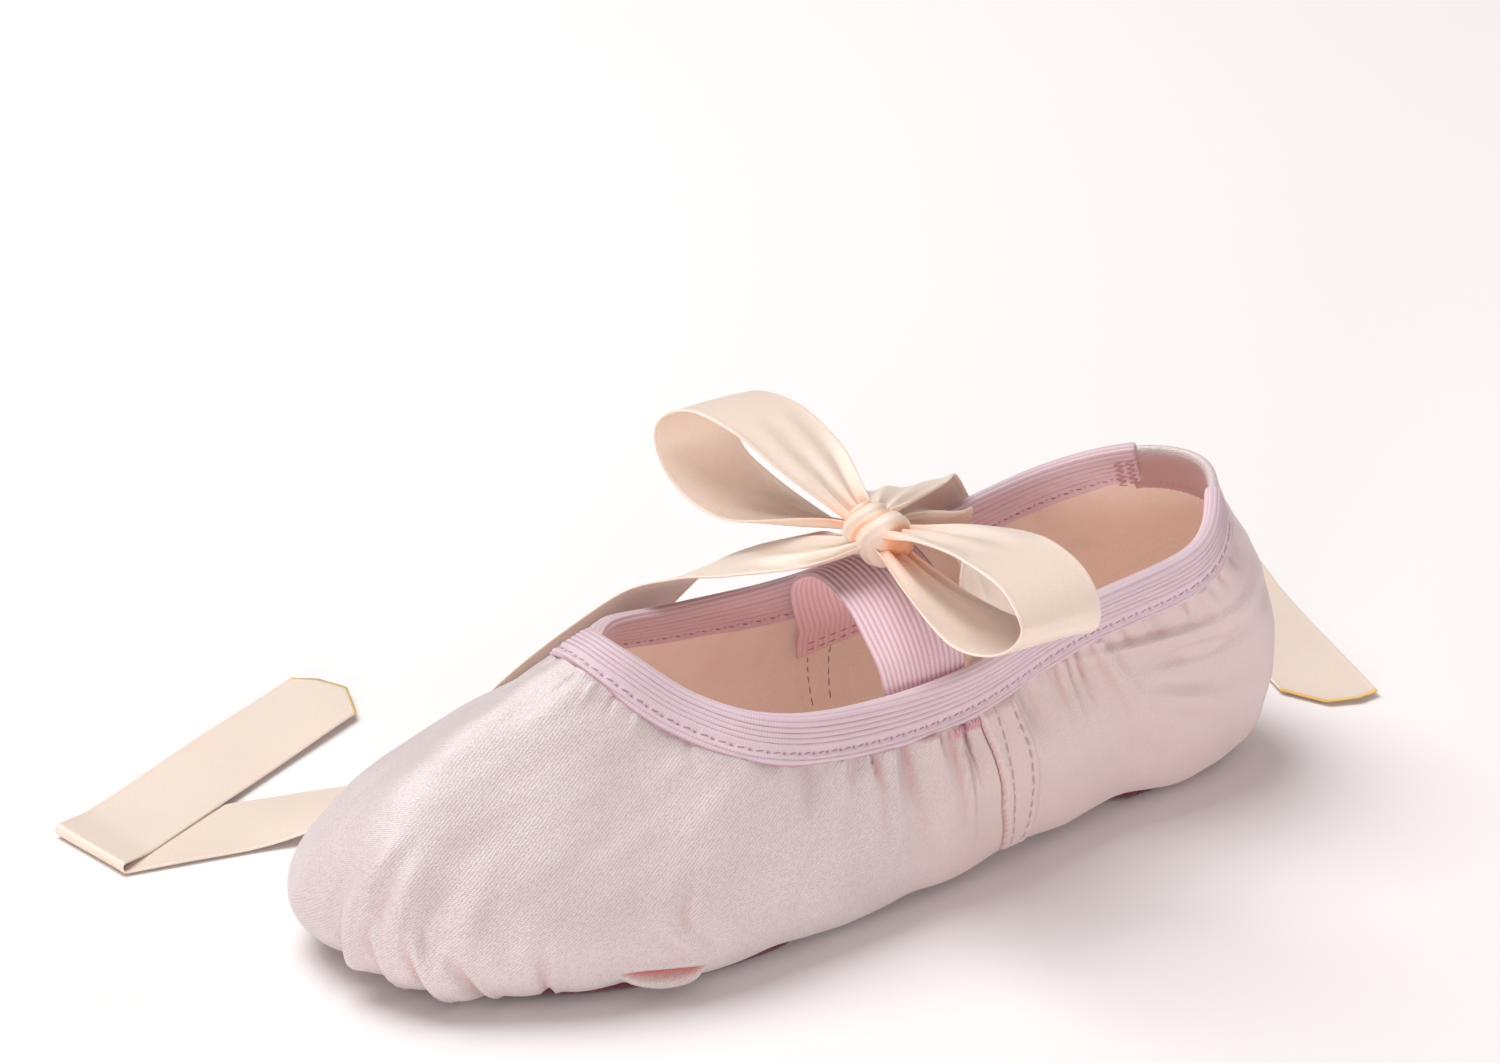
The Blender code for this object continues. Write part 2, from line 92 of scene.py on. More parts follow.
# The last, in percent: x of LENGTH from its middle, y of half BALL_WIDTH, z of HEEL_HEIGHT.
#   feather: where the satin turns under, spring: its rise above the sole in mm
#   side:    the widest line, lift: how upright the wall leaves it
#   rim:     the collar's edge, pull: the direction in which the wall reaches it
Section = namedtuple(
    "Section",
    "feather_x feather_y spring  side_x side_y side_z lift  "
    "rim_x rim_y rim_z  pull_x pull_y pull_z",
)
SECTIONS = [
    Section(-44.4, 0, 2.3, -50.0, 0, 25.5, 28, -22.5, 0, 91.0, 12.4, 0, 15),  # toe
    Section(-42.8, 35, 2.0, -47.4, 46, 21.0, 26, -21.7, 17, 88.5, 11.2, -7, 19),
    Section(-36.3, 64, 0.8, -38.7, 79, 18.5, 25, -18.2, 39, 78.5, 7.9, -16, 22),
    Section(-24.2, 84, 0.0, -24.2, 100, 21.5, 23, -13.3, 61, 73.0, 2.8, -19, 25),  # ball
    Section(-9.6, 82, 0.0, -10.4, 96, 25.5, 18, -5.0, 66, 69.0, 0.4, -10, 21),
    Section(7.2, 73, 0.6, 7.2, 83, 27.5, 15, 7.9, 63, 69.0, 0.0, 1, 18),  # waist
    Section(24.0, 55, 0.7, 24.2, 71, 30.0, 19, 20.5, 57, 79.0, -0.1, 5, 20),
    Section(37.7, 47, 0.0, 39.4, 63, 35.0, 23, 34.2, 56, 88.0, -1.4, 0, 21),
    Section(44.7, 30, 0.0, 47.7, 41, 39.0, 27, 40.7, 29, 98.0, -2.3, -5, 24),
    Section(46.3, 0, 0.0, 50.0, 0, 39.5, 27, 43.4, 0, 100.0, -2.1, 0, 25),  # heel
]
LAST = len(SECTIONS) - 1


def scaled_sections():
    """The table in millimetres, one row of 13 values for each section."""
    x, y, z = LENGTH / 100, BALL_WIDTH / 200, HEEL_HEIGHT / 100
    rows = np.array(SECTIONS, float) * (x, y, 1, x, y, z, z, x, y, z, x, y, z)
    rows[:, 2] += BASE
    return rows


ROWS = scaled_sections()
MIRRORED = np.array([1, -1, 1, 1, -1, 1, 1, 1, -1, 1, 1, -1, 1])
UP = np.array([0, 0, 1.0])


def catmull_rom(before, start, end, after, t):
    """The value a share t of the way from start to end, on a smooth curve through all four."""
    return 0.5 * (
        2 * start
        + (end - before) * t
        + (2 * before - 5 * start + 4 * end - after) * t**2
        + (3 * start - before - 3 * end + after) * t**3
    )


def sections_at(section):
    """The table's rows interpolated at each section number, smooth across both ends."""
    rows = np.vstack([ROWS[1] * MIRRORED, ROWS, ROWS[-2] * MIRRORED])
    section = np.clip(np.asarray(section, float), 0, LAST)
    first = np.minimum(section.astype(int), LAST - 1)
    t = (section - first)[:, None]
    return catmull_rom(rows[first], rows[first + 1], rows[first + 2], rows[first + 3], t)


def bezier(a, b, c, d, t):
    """The point a share t along a cubic curve from a to d that heads for b and comes from c."""
    return a * (1 - t) ** 3 + 3 * b * t * (1 - t) ** 2 + 3 * c * t * t * (1 - t) + d * t**3


FEATHER_LINE = sections_at(np.linspace(0, LAST, 181))[:, 0:3]


def satin_height(x):
    """The height of the satin's underside along the feather line, for its toe spring and arch."""
    return np.interp(x, FEATHER_LINE[:, 0], FEATHER_LINE[:, 2])


def moved_inward(feather, distance):
    """The feather line moved towards the middle of the shoe, no further than the centre line."""
    target = np.zeros_like(feather)
    target[:, 0] = np.clip(feather[:, 0], TOE_CENTRE, HEEL_CENTRE)
    target[:, 2] = feather[:, 2]
    inward = target - feather
    depth = np.linalg.norm(inward, axis=1)
    moved = feather + inward * (np.minimum(distance, depth) / depth)[:, None]
    moved[:, 2] = satin_height(moved[:, 0])
    return moved


def lapped_edge(feather):
    """The inner edge of the satin lapped under the last: a margin, or the arch's centre line."""
    into_arch = np.minimum(feather[:, 0] - ARCH_FRONT, ARCH_BACK - feather[:, 0])
    return moved_inward(feather, LAP + np.clip(into_arch, 0, None) * ARCH_TAPER)


def skin(section, height):
    """Points of half of the satin's outer side, indexed [section, height], with y outwards.

    Height runs from -1, the lapped edge, over 0, the feather line, and 1, the widest line, to 2,
    the collar's edge."""
    rows = sections_at(section)
    feather, side, lift = rows[:, 0:3], rows[:, 3:6], rows[:, 6:7]
    rim, pull = rows[:, 7:10], rows[:, 10:13]
    outward = (side - feather) * (1, 1, 0)
    rise = UP * (side - feather)[:, 2:3]
    height = np.asarray(height, float)

    under = np.clip(height + 1, 0, 1)[None, :, None]
    low = np.clip(height, 0, 1)[None, :, None]
    high = np.clip(height - 1, 0, 1)[None, :, None]
    lapped = lapped_edge(feather)[:, None]
    feather, outward, rise = feather[:, None], outward[:, None], rise[:, None]
    side, lift, rim, pull = side[:, None], lift[:, None], rim[:, None], pull[:, None]
    turn = bezier(feather, feather + 0.6 * outward, side - 0.55 * rise, side, low)
    wall = bezier(side, side + lift * UP, rim - pull, rim, high)
    flat = lapped + (feather - lapped) * under
    level = height[None, :, None]
    return np.where(level < 0, flat, np.where(level < 1, turn, wall))


# ---------------------------------------------------------------- grids on the last

FINE = np.linspace(0, LAST, 1801)


def arc_length(points):
    """Distance along each line of points, from its first."""
    steps = np.linalg.norm(np.diff(points, axis=-2), axis=-1)
    return np.concatenate([np.zeros((*steps.shape[:-1], 1)), np.cumsum(steps, axis=-1)], axis=-1)


def along_line(where, arc, rows):
    """Rows of three values at places along a line, given how far along it each row lies."""
    return np.stack([np.interp(where, arc, rows[:, i]) for i in range(3)], axis=-1)


SIDE_ARC = arc_length(skin(FINE, [1.0])[:, 0])
RIM_ARC = arc_length(skin(FINE, [2.0])[:, 0])
HALF_ROUND = SIDE_ARC[-1]


def sections_of(distance):
    """Section numbers and sides at distances round the shoe at its widest line, from the toe along
    the near side to the heel and back along the far side."""
    near = distance <= HALF_ROUND
    folded_back = np.where(near, distance, 2 * HALF_ROUND - distance)
    return np.interp(folded_back, SIDE_ARC, FINE), np.where(near, -1.0, 1.0)


def placed(points, side):
    """The half last's points, put on the near (-Y) or the far (+Y) side row by row."""
    out = points.copy()
    out[..., 1] *= side[:, None]
    return out


def grid_normals(points):
    """Unit normals of a grid indexed [along, across], whose last row is its first again."""
    around = np.concatenate([points[-2:-1], points, points[1:2]])
    along = (around[2:] - around[:-2]) / 2
    normal = np.cross(along, np.gradient(points, axis=1))
    length = np.linalg.norm(normal, axis=2, keepdims=True)
    return normal / np.maximum(length, 1e-9)


def unit(vectors):
    """The vectors at a length of 1."""
    return vectors / np.linalg.norm(vectors, axis=-1, keepdims=True)


def smooth(t):
    """From 0 at t = 0 to 1 at t = 1, level at both ends."""
    t = np.clip(t, 0, 1)
    return t * t * (3 - 2 * t)


def ridge(distance):
    """A smooth ridge, 1 at its crest and 0 from a distance of 1 on."""
    return np.where(np.abs(distance) < 1, np.cos(np.clip(distance, -1, 1) * math.pi / 2) ** 2, 0)


# A crease in the satin, as a line from one point to another. Positions are millimetres along the
# side from the toe and millimetres up the wall from the floor edge (toe gathers) or down from the
# rim (collar gathers). Height is the ridge's, negative in a trough; step is the height of a fold
# lapped over what follows it; the crease fades towards its end, and towards its start unless it
# comes out from under a seam.
Crease = namedtuple(
    "Crease", "along level to_along to_level width height step sewn", defaults=(0.0, True))


def crease_relief(creases, along, level):
    """The height that the creases add at points given by two arrays of one shape."""
    total = np.zeros_like(level)
    for crease in creases:
        start = np.array([crease.along, crease.level], float)
        run = np.array([crease.to_along, crease.to_level], float) - start
        length = np.hypot(*run)
        run /= length
        x, y = along - start[0], level - start[1]
        t = (x * run[0] + y * run[1]) / length
        off = (x * run[1] - y * run[0]) / crease.width
        off = off * (1 + 0.5 * np.clip(1 - t, 0, 1))
        fade = 1 - smooth(t)
        fade = fade * (smooth((t + 0.12) / 0.15) if crease.sewn else smooth(t / 0.35))
        sharp = crease.height < 0 and crease.width < 3
        shape = np.clip(1 - np.abs(off), 0, 1) ** 1.6 if sharp else ridge(off)
        total += fade * crease.height * shape
        total += fade * crease.step * np.clip(-off, -1, 1) * np.exp(0.5 - 1.6 * off**2) * 1.3
    return total


def on_both_sides(near_creases, far_creases, near, along, level, half):
    """The creases of both sides, each also where it runs over the toe or the heel, half from it."""
    def one_side(creases, own):
        over_toe = crease_relief(creases, -along, level)
        over_heel = crease_relief(creases, 2 * half - along, level)
        return np.where(own, crease_relief(creases, along, level), over_toe + over_heel)

    return one_side(near_creases, near) + one_side(far_creases, ~near)


# Where the gathered satin is caught down round the toe, between puffed scallops: millimetres from
# the toe, near side positive, at the floor edge and where the tuck ends, the height that it
# reaches up the wall, and how far the scallop after it puffs out
Tuck = namedtuple("Tuck", "along to_along to_level puff")
TUCKS = [
    Tuck(-118, -118, 4, 0.0),
    Tuck(-104, -103, 8, 0.4),
    Tuck(-88, -86, 12, 0.6),
    Tuck(-70, -67, 14, 0.8),
    Tuck(-55, -50, 17, 1.0),
    Tuck(-42, -36, 18, 1.5),
    Tuck(-29, -22, 24, 2.2),
    Tuck(3.2, 4.6, 26, 2.5),
    Tuck(16.5, 12.2, 22, 2.3),
    Tuck(27.5, 20.5, 23, 3.1),
    Tuck(37.5, 31.5, 19, 1.3),
    Tuck(50.5, 48.8, 16, 0.4),
    Tuck(67, 66, 10, 0.0),
    Tuck(92, 92, 10, 0.0),
]


def scallop_relief(along, level):
    """The puffed satin between tucks; along is negative on the far side of the shoe."""
    total = np.zeros_like(level)
    for tuck, after in zip(TUCKS, TUCKS[1:]):
        left = tuck.along + (tuck.to_along - tuck.along) * level / tuck.to_level
        right = after.along + (after.to_along - after.along) * level / after.to_level
        share = np.clip((along - left) / np.maximum(right - left, 1), 0, 1)
        reach = tuck.to_level + (after.to_level - tuck.to_level) * share
        arch = np.sqrt(np.clip(1 - (2 * share - 1) ** 2, 0, 1))
        leaning = 1 + 0.35 * (0.5 - share)
        fade = 1 - smooth((level - 0.25 * reach) / (0.8 * reach))
        total += tuck.puff * arch * leaning * fade
    return total


# Where the satin is gathered under the near side of the toe, up from the floor edge
NEAR_TOE_CREASES = [
    Crease(4.6, 4, 2.6, 42, 4.6, -1.7),
    Crease(-9.0, 16, -8.0, 46, 8.0, 0.9, sewn=False),
    Crease(9.0, 12, 10.4, 50, 5.2, 2.0),
    Crease(17.5, 4, 12.0, 25, 2.2, -1.2, step=-1.3),
    Crease(14.2, 19, 14.2, 42, 4.0, -1.2, sewn=False),
    Crease(20.0, 13, 16.6, 42, 4.2, 1.5, sewn=False),
    Crease(28.0, 3, 19.5, 25, 2.4, -1.3, step=-1.5),
    Crease(27.0, 13, 22.5, 42, 5.2, -1.7, sewn=False),
    Crease(37.8, 2, 28.5, 24, 2.4, -1.3, step=-1.8),
    Crease(34.0, 14, 29.0, 44, 5.6, 1.4, sewn=False),
    Crease(50.6, 2, 48.4, 24, 2.2, -0.9, step=-1.0),
    Crease(42.0, 10, 40.0, 30, 5.5, -0.8, sewn=False),
    Crease(84.0, 8, 66.0, 28, 4.4, 1.5, sewn=False),
    Crease(79.0, 12, 73.0, 40, 5.2, -1.2, sewn=False),
    Crease(90.0, 9, 84.0, 24, 5.0, 0.6, sewn=False),
    Crease(18, 46, 36, 24, 10.0, -0.7, sewn=False),
    Crease(42, 48, 62, 24, 11.0, -0.7, sewn=False),
    Crease(110, 30, 103, 3, 6.0, -0.6, sewn=False),
]
FAR_TOE_CREASES = [
    Crease(29.5, 3, 22.0, 27, 2.6, -1.0, step=-1.5),
    Crease(27.0, 15, 22.5, 38, 4.6, -0.9, sewn=False),
    Crease(42.5, 2, 36.0, 23, 2.3, -0.9, step=-1.1),
    Crease(55.5, 2, 50.0, 20, 2.2, -0.7, step=-0.8),
    Crease(70.5, 1, 66.0, 18, 2.2, -0.5, step=-0.6),
    Crease(88.5, 1, 85.0, 15, 2.2, -0.4, step=-0.5),
    Crease(12, 36, 16, 54, 6.0, -0.35, sewn=False),
    Crease(40, 44, 60, 24, 10.0, -0.45, sewn=False),
]
# Gathers that run down from the collar's elastic, by millimetres along the rim from the throat
NEAR_COLLAR_CREASES = [
    Crease(3.0, 8.5, 3.5, 17, 1.3, -0.25),
    Crease(6.5, 8.5, 8.5, 18, 1.3, 0.22),
    Crease(10.5, 8.5, 13, 17, 1.3, -0.22),
    Crease(15.5, 8.5, 19, 19, 1.6, 0.2),
    Crease(25.5, 8.5, 30, 18, 1.8, -0.18),
    Crease(34.5, 8.5, 39, 20, 2.2, 0.2),
    Crease(46.8, 8.5, 54, 30, 4.0, -0.5),
    Crease(42.0, 8.5, 47, 24, 3.0, 0.25),
    Crease(55.0, 8.5, 59, 22, 2.6, 0.2),
    Crease(62.8, 8.5, 66, 18, 1.6, -0.55, step=0.1),
    Crease(66.6, 8.5, 74, 40, 3.4, 0.65),
    Crease(71.5, 8.5, 80, 40, 4.5, -0.8),
    Crease(58.5, 8.5, 60, 38, 5.0, -0.4),
    Crease(78.0, 8.5, 86, 44, 5.0, 0.55),
    Crease(76.0, 8.5, 77.5, 15, 1.4, 0.4),
    Crease(80.0, 8.5, 81.5, 16, 1.5, -0.35),
    Crease(84.5, 8.5, 88.5, 38, 1.9, 0.75, step=0.25),
    Crease(87.3, 8.5, 91, 30, 2.0, -0.75),
    Crease(103.5, 8.5, 106, 30, 5.0, -0.75),
    Crease(109.5, 8.5, 109, 16, 1.7, 0.35),
    Crease(114.6, 8.5, 112, 30, 2.4, 0.65, step=0.1),
    Crease(119.2, 8.5, 116.5, 27, 2.4, -0.6),
    Crease(124.0, 8.5, 127, 38, 3.0, 0.5),
    Crease(130.5, 8.5, 131.5, 17, 2.0, -0.35),
    Crease(134.2, 8.5, 135, 17, 1.8, 0.35),
    Crease(138.0, 8.5, 139, 17, 2.4, -0.55),
    Crease(142.0, 8.5, 143, 16, 1.7, 0.35),
    Crease(145.6, 8.5, 147, 17, 2.2, -0.5),
    Crease(151.0, 8.5, 153.5, 20, 2.4, 0.3),
    Crease(157.0, 8.5, 159, 15, 2.0, -0.35),
    Crease(164.0, 8.5, 166, 17, 2.4, -0.3),
    Crease(112.0, 9.5, 190, 26, 3.2, 0.6, step=0.3, sewn=False),
    Crease(124.0, 17, 196, 33, 4.5, -0.6, sewn=False),
    Crease(122.0, 22, 178, 50, 4.5, 0.5, step=0.25, sewn=False),
    Crease(118.0, 30, 160, 58, 7.0, -0.5, sewn=False),
]
FAR_COLLAR_CREASES = [
    Crease(c.along + 2.2, c.level, c.to_along + 0.8, 0.9 * c.to_level + 1.5, c.width,
           0.9 * c.height, 0.8 * c.step, c.sewn)
    for c in NEAR_COLLAR_CREASES[::-1]
    if not 89 < c.along < 101
]

# The side seam, by height up the wall: its folded edge and its two rows of topstitching, each in
# millimetres along the side from the toe
SeamRow = namedtuple("SeamRow", "level fold row_a row_b")
SIDE_SEAM = [
    SeamRow(0, 169.6, 170.6, 173.6),
    SeamRow(8, 168.2, 169.7, 174.0),
    SeamRow(14, 166.6, 168.6, 173.4),
    SeamRow(20, 165.7, 167.5, 172.9),
    SeamRow(28, 164.2, 167.0, 172.7),
    SeamRow(36, 161.8, 166.5, 171.9),
    SeamRow(46, 160.0, 166.0, 171.4),
]
SEAM_PITCH = 2.9
SEAM_SHARE = 0.74  # of the pitch that each of its stitches shows


def seam_line(name, level):
    """How far along the side the seam's fold or a row of its stitches lies at a level."""
    levels = [row.level for row in SIDE_SEAM]
    return np.interp(level, levels, [getattr(row, name) for row in SIDE_SEAM])


def seam_relief(along, level):
    """The quarter's edge lapped over the vamp, with a groove at each row of stitches."""
    fold = along - seam_line("fold", level)
    back = along - seam_line("row_b", level)
    lap = 0.75 * smooth(fold / 0.9 + 0.5) * (1 - smooth((back - 0.6) / 2.2))
    crack = -0.85 * ridge((fold + 0.55) / 0.6)
    rolled = 0.25 * ridge((fold - 1.0) / 1.3)
    grooves = -0.28 * ridge((along - seam_line("row_a", level)) / 0.8) - 0.28 * ridge(back / 0.8)
    puckers = 0.07 * np.sin(level * 2 * math.pi / SEAM_PITCH) * ridge(back / 2.6)
    shown = smooth((level - 1) / 3)
    return shown * (lap + crack + rolled + grooves + puckers)


def drift(along, level, seed):
    """Slow uneven swells of cloth that has been handled, about 0.2 mm deep."""
    rng = np.random.default_rng(seed)
    total = np.zeros_like(along + level)
    for wavelength, depth in ((46, 0.28), (31, 0.19), (19, 0.10), (11, 0.045)):
        for _ in range(3):
            angle = rng.uniform(0, math.pi)
            phase = rng.uniform(0, 2 * math.pi)
            wave = (along * math.cos(angle) + level * math.sin(angle)) * 2 * math.pi / wavelength
            total += depth * np.sin(wave + phase)
    return total


LOOSE_TUCK = 75.2  # the middle of it, along the near side from the toe
LOOSE_TUCK_REACH = 8.8


def loose_tuck(along, level):
    """The one gather that has come loose: an open mouth above a rolled edge.

    Gives the height of the relief and how deep in the mouth each point lies."""
    share = np.clip((along - LOOSE_TUCK) / LOOSE_TUCK_REACH, -1, 1)
    arch = np.sqrt(1 - share**2)
    upper_edge = 7.4 - 0.5 * share + 0.9 * arch
    below = upper_edge - level
    opening = 2.3 * arch * (1 + 0.25 * share)
    lip = 0.7 * arch * ridge((below + 0.9) / 1.3)
    mouth = smooth(below / 0.35) * (1 - smooth((below - opening + 0.4) / 0.8)) * smooth(3 * arch)
    rolled = 2.5 * arch * ridge((below - opening - 1.1) / 2.0)
    return lip - 1.1 * mouth + rolled, mouth


Wall = namedtuple("Wall", "points normals side along rim_along level depth")


def wall_on(distance, heights):
    """The outside of the last at distances round the shoe, with its places in millimetres.

    Along and rim_along are measured from the toe at the widest line and at the rim, level up from
    the floor edge, and depth down from the rim."""
    section, side = sections_of(distance)
    points = placed(skin(section, heights), side)
    rise = arc_length(points)
    floor = np.argmin(np.abs(heights))
    every = np.ones((1, len(heights)))
    return Wall(
        points=points,
        normals=grid_normals(points),
        side=side,
        along=np.interp(section, FINE, SIDE_ARC)[:, None] * every,
        rim_along=np.interp(section, FINE, RIM_ARC)[:, None] * every,
        level=rise - rise[:, floor:floor + 1],
        depth=rise[:, -1:] - rise,
    )


COLLAR_GATHER = 2.3  # how much deeper the collar's gathers are than the table gives them


def satin_relief(wall):
    """The satin's folds and seams, in millimetres out from the last."""
    near = wall.side[:, None] < 0
    toe = on_both_sides(
        NEAR_TOE_CREASES, FAR_TOE_CREASES, near, wall.along, wall.level, HALF_ROUND)
    collar = on_both_sides(
        NEAR_COLLAR_CREASES, FAR_COLLAR_CREASES, near, wall.rim_along, wall.depth, RIM_ARC[-1])
    seam = seam_relief(wall.along, wall.level) * smooth((wall.depth - BINDING_OUTSIDE + 0.6) / 2)
    clear_of_seam = 1 - 0.8 * ridge((wall.along - 168) / 9)
    swell = drift(wall.along * wall.side[:, None], wall.level, seed=4)
    near_collar = smooth((wall.depth - 1) / 5)
    lapped = smooth((wall.level + 4) / 4)
    tuck = near * loose_tuck(wall.along, wall.level)[0]
    toe += scallop_relief(wall.along * -wall.side[:, None], wall.level)
    toe -= 0.5 * ridge((wall.level - 8) / 16) * smooth((112 - wall.along) / 20)
    puffed = 0.6 * ridge((wall.along - 165) / 75) * ridge((wall.depth - 14) / 30)
    relief = toe + near_collar * (COLLAR_GATHER * collar * clear_of_seam + seam + swell + puffed)
    under_binding = 0.3 + 3 * smooth((wall.depth - BINDING_OUTSIDE + 0.5) / 1.6)
    return np.clip(lapped * relief + tuck, -1.05, under_binding)


# ---------------------------------------------------------------- meshes

def linked(name, data):
    """A new object in the scene with a mesh, light or camera."""
    obj = bpy.data.objects.new(name, data)
    bpy.context.scene.collection.objects.link(obj)
    return obj


def written(bm, mesh):
    """The mesh, with what a bmesh holds; the bmesh is freed."""
    bm.to_mesh(mesh)
    bm.free()
    return mesh


def grid_object(name, points, closed=False, capped=False, uv=None, flip=False, values=None):
    """An object with one grid of faces through points, indexed [along, across].

    Closed joins rows or columns that repeat each other, and capped fills the open ends as well.
    UV gives each point's place on the cloth in millimetres. Values are stored on the points."""
    rows, columns = points.shape[:2]
    bm = bmesh.new()
    bmesh.ops.create_grid(bm, x_segments=rows - 1, y_segments=columns - 1, size=1)
    bm.verts.ensure_lookup_table()
    corner = np.array([vert.co for vert in bm.verts])
    row = np.rint((corner[:, 0] + 1) / 2 * (rows - 1)).astype(int)
    column = np.rint((corner[:, 1] + 1) / 2 * (columns - 1)).astype(int)
    place = points[row, column] * MM
    for vert, co in zip(bm.verts, place):
        vert.co = co
    if flip:
        bmesh.ops.reverse_faces(bm, faces=bm.faces)
    mesh = written(bm, bpy.data.meshes.new(name))
    corners = np.empty(len(mesh.loops), np.int32)
    mesh.loops.foreach_get("vertex_index", corners)
    if uv is not None:
        layer = mesh.uv_layers.new(name="cloth")
        layer.data.foreach_set("uv", (uv[row, column][corners] * MM).astype(np.float32).ravel())
    for label, value in (values or {}).items():
        attribute = mesh.attributes.new(label, "FLOAT", "POINT")
        attribute.data.foreach_set("value", value[row, column].astype(np.float32))
    if closed or capped:
        bm = bmesh.new()
        bm.from_mesh(mesh)
        bmesh.ops.remove_doubles(bm, verts=bm.verts, dist=0.002 * MM)
        if capped:
            bmesh.ops.holes_fill(bm, edges=[e for e in bm.edges if e.is_boundary], sides=0)
        written(bm, mesh)
    mesh.shade_smooth()
    return linked(name, mesh)


def finish_piece(obj, made_of, slot, *stands_for):
    """Gives a piece its material and body, and hides the CAD nodes that it replaces; its slot is
    not used.
    """
    obj.data.materials.append(made_of)
    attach(obj, "root")
    if stands_for:
        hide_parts(*stands_for)


# ---------------------------------------------------------------- materials

def linear(hex_colour):
    """A colour written as sRGB hex, in the linear values that shaders take."""
    channels = [int(hex_colour[i:i + 2], 16) / 255 for i in (0, 2, 4)]
    return tuple(c / 12.92 if c <= 0.04045 else ((c + 0.055) / 1.055) ** 2.4 for c in channels)


def fill(socket, value):
    """Sets an input to a number or vector, or to a colour in sRGB hex or in linear values."""
    if isinstance(value, str):
        value = linear(value)
    socket.default_value = (*value, 1) if socket.type == "RGBA" else value


def add(tree, kind, inputs=None, **settings):
    """A new node with its settings, and each input linked to a socket or set to a value."""
    node = tree.nodes.new(kind)
    for name, value in settings.items():
        setattr(node, name, value)
    for name, value in (inputs or {}).items():
        if isinstance(value, bpy.types.NodeSocket):
            tree.links.new(value, node.inputs[name])
        else:
            fill(node.inputs[name], value)
    return node


def new_material(name, **constants):
    """A material, its nodes and its shader, with constant inputs set on the shader itself."""
    made = bpy.data.materials.new(name)
    made.use_nodes = True
    shader = made.node_tree.nodes["Principled BSDF"]
    for label, value in constants.items():
        fill(shader.inputs[label.replace("_", " ").title().replace("Ior", "IOR")], value)
    return made, made.node_tree, shader


def cloth_coordinates(tree, along=1.0, across=1.0, turn=0.0):
    """Each point's place on the cloth in millimetres, stretched and turned."""
    uv = add(tree, "ShaderNodeUVMap", uv_map="cloth").outputs["UV"]
    return add(tree, "ShaderNodeMapping", {
        "Vector": uv, "Scale": (along / MM, across / MM, 1), "Rotation": (0, 0, math.radians(turn)),
    }).outputs["Vector"]


def body_coordinates(tree):
    """The object's own coordinates, in millimetres."""
    place = add(tree, "ShaderNodeTexCoord").outputs["Object"]
    return add(tree, "ShaderNodeMapping", {
        "Vector": place, "Scale": (1 / MM, 1 / MM, 1 / MM)}).outputs["Vector"]


def mottle(tree, size, detail, roughness=0.5):
    """Patches of about 0 to 1, size millimetres across, that run in no direction."""
    return add(tree, "ShaderNodeTexNoise", {
        "Vector": body_coordinates(tree), "Scale": 1 / size, "Detail": detail,
        "Roughness": roughness}).outputs["Fac"]


def slub(tree, size, detail, along=1.0, across=1.0, turn=0.0):
    """Thick and thin places in the threads, of about 0 to 1, that run with the cloth."""
    return add(tree, "ShaderNodeTexNoise", {
        "Vector": cloth_coordinates(tree, along, across, turn), "Scale": 1 / size,
        "Detail": detail}).outputs["Fac"]


def sum_of(tree, *terms):
    """The sum of terms, each a socket and its factor."""
    total = 0.0
    for socket, factor in terms:
        total = add(tree, "ShaderNodeMath", {0: socket, 1: factor, 2: total},
                    operation="MULTIPLY_ADD").outputs[0]
    return total


def shaded(tree, value, low, high, dark, light):
    """From the dark colour where a value is low to the light one where it is high."""
    share = add(tree, "ShaderNodeMapRange", {
        "Value": value, "From Min": low, "From Max": high}).outputs["Result"]
    return add(tree, "ShaderNodeMix", {0: share, 6: dark, 7: light}, data_type="RGBA").outputs[2]


def tinted(tree, base, label, colour):
    """The base colour, turned to another as the value stored under a label goes from 0 to 1."""
    share = add(tree, "ShaderNodeAttribute", attribute_name=label).outputs["Fac"]
    return add(tree, "ShaderNodeMix", {0: share, 6: base, 7: colour}, data_type="RGBA").outputs[2]


def give_surface(tree, shader, colour, relief, depth, rough=None, woven=False):
    """Links the shader's colour, and a relief whose height runs 0 to 1 over depth millimetres.

    Rough is a value, its low and high, and the roughness at each. Woven stretches the highlight
    across the weft, as satin does."""
    tree.links.new(colour, shader.inputs["Base Color"])
    bump = add(tree, "ShaderNodeBump", {"Height": relief, "Distance": depth * MM, "Strength": 1.0})
    tree.links.new(bump.outputs["Normal"], shader.inputs["Normal"])
    if rough:
        labels = ("Value", "From Min", "From Max", "To Min", "To Max")
        scaled = add(tree, "ShaderNodeMapRange", dict(zip(labels, rough)))
        tree.links.new(scaled.outputs["Result"], shader.inputs["Roughness"])
    if woven:
        tangent = add(tree, "ShaderNodeTangent", direction_type="UV_MAP", uv_map="cloth")
        tree.links.new(tangent.outputs["Tangent"], shader.inputs["Tangent"])


WAVE_PITCH = 0.314  # how far apart a wave texture's bands lie at a scale of 1
LOOP_PITCH = 0.571  # between the rows of loops that cross the elastic's ribs
TWILL_PITCH = 0.2855  # between the slanting lines of the ribbon's weave


def satin_weave(tree, thread, turn):
    """Height of a satin weave: long floats of thread side by side, unevenly twisted."""
    floats = slub(tree, 1.0, 1.0, 1 / thread, 1 / (2.6 * thread), turn)
    fine = slub(tree, 0.6, 0.0, 1 / thread, 1 / thread, turn + 50)
    return sum_of(tree, (floats, 0.7), (fine, 0.3))


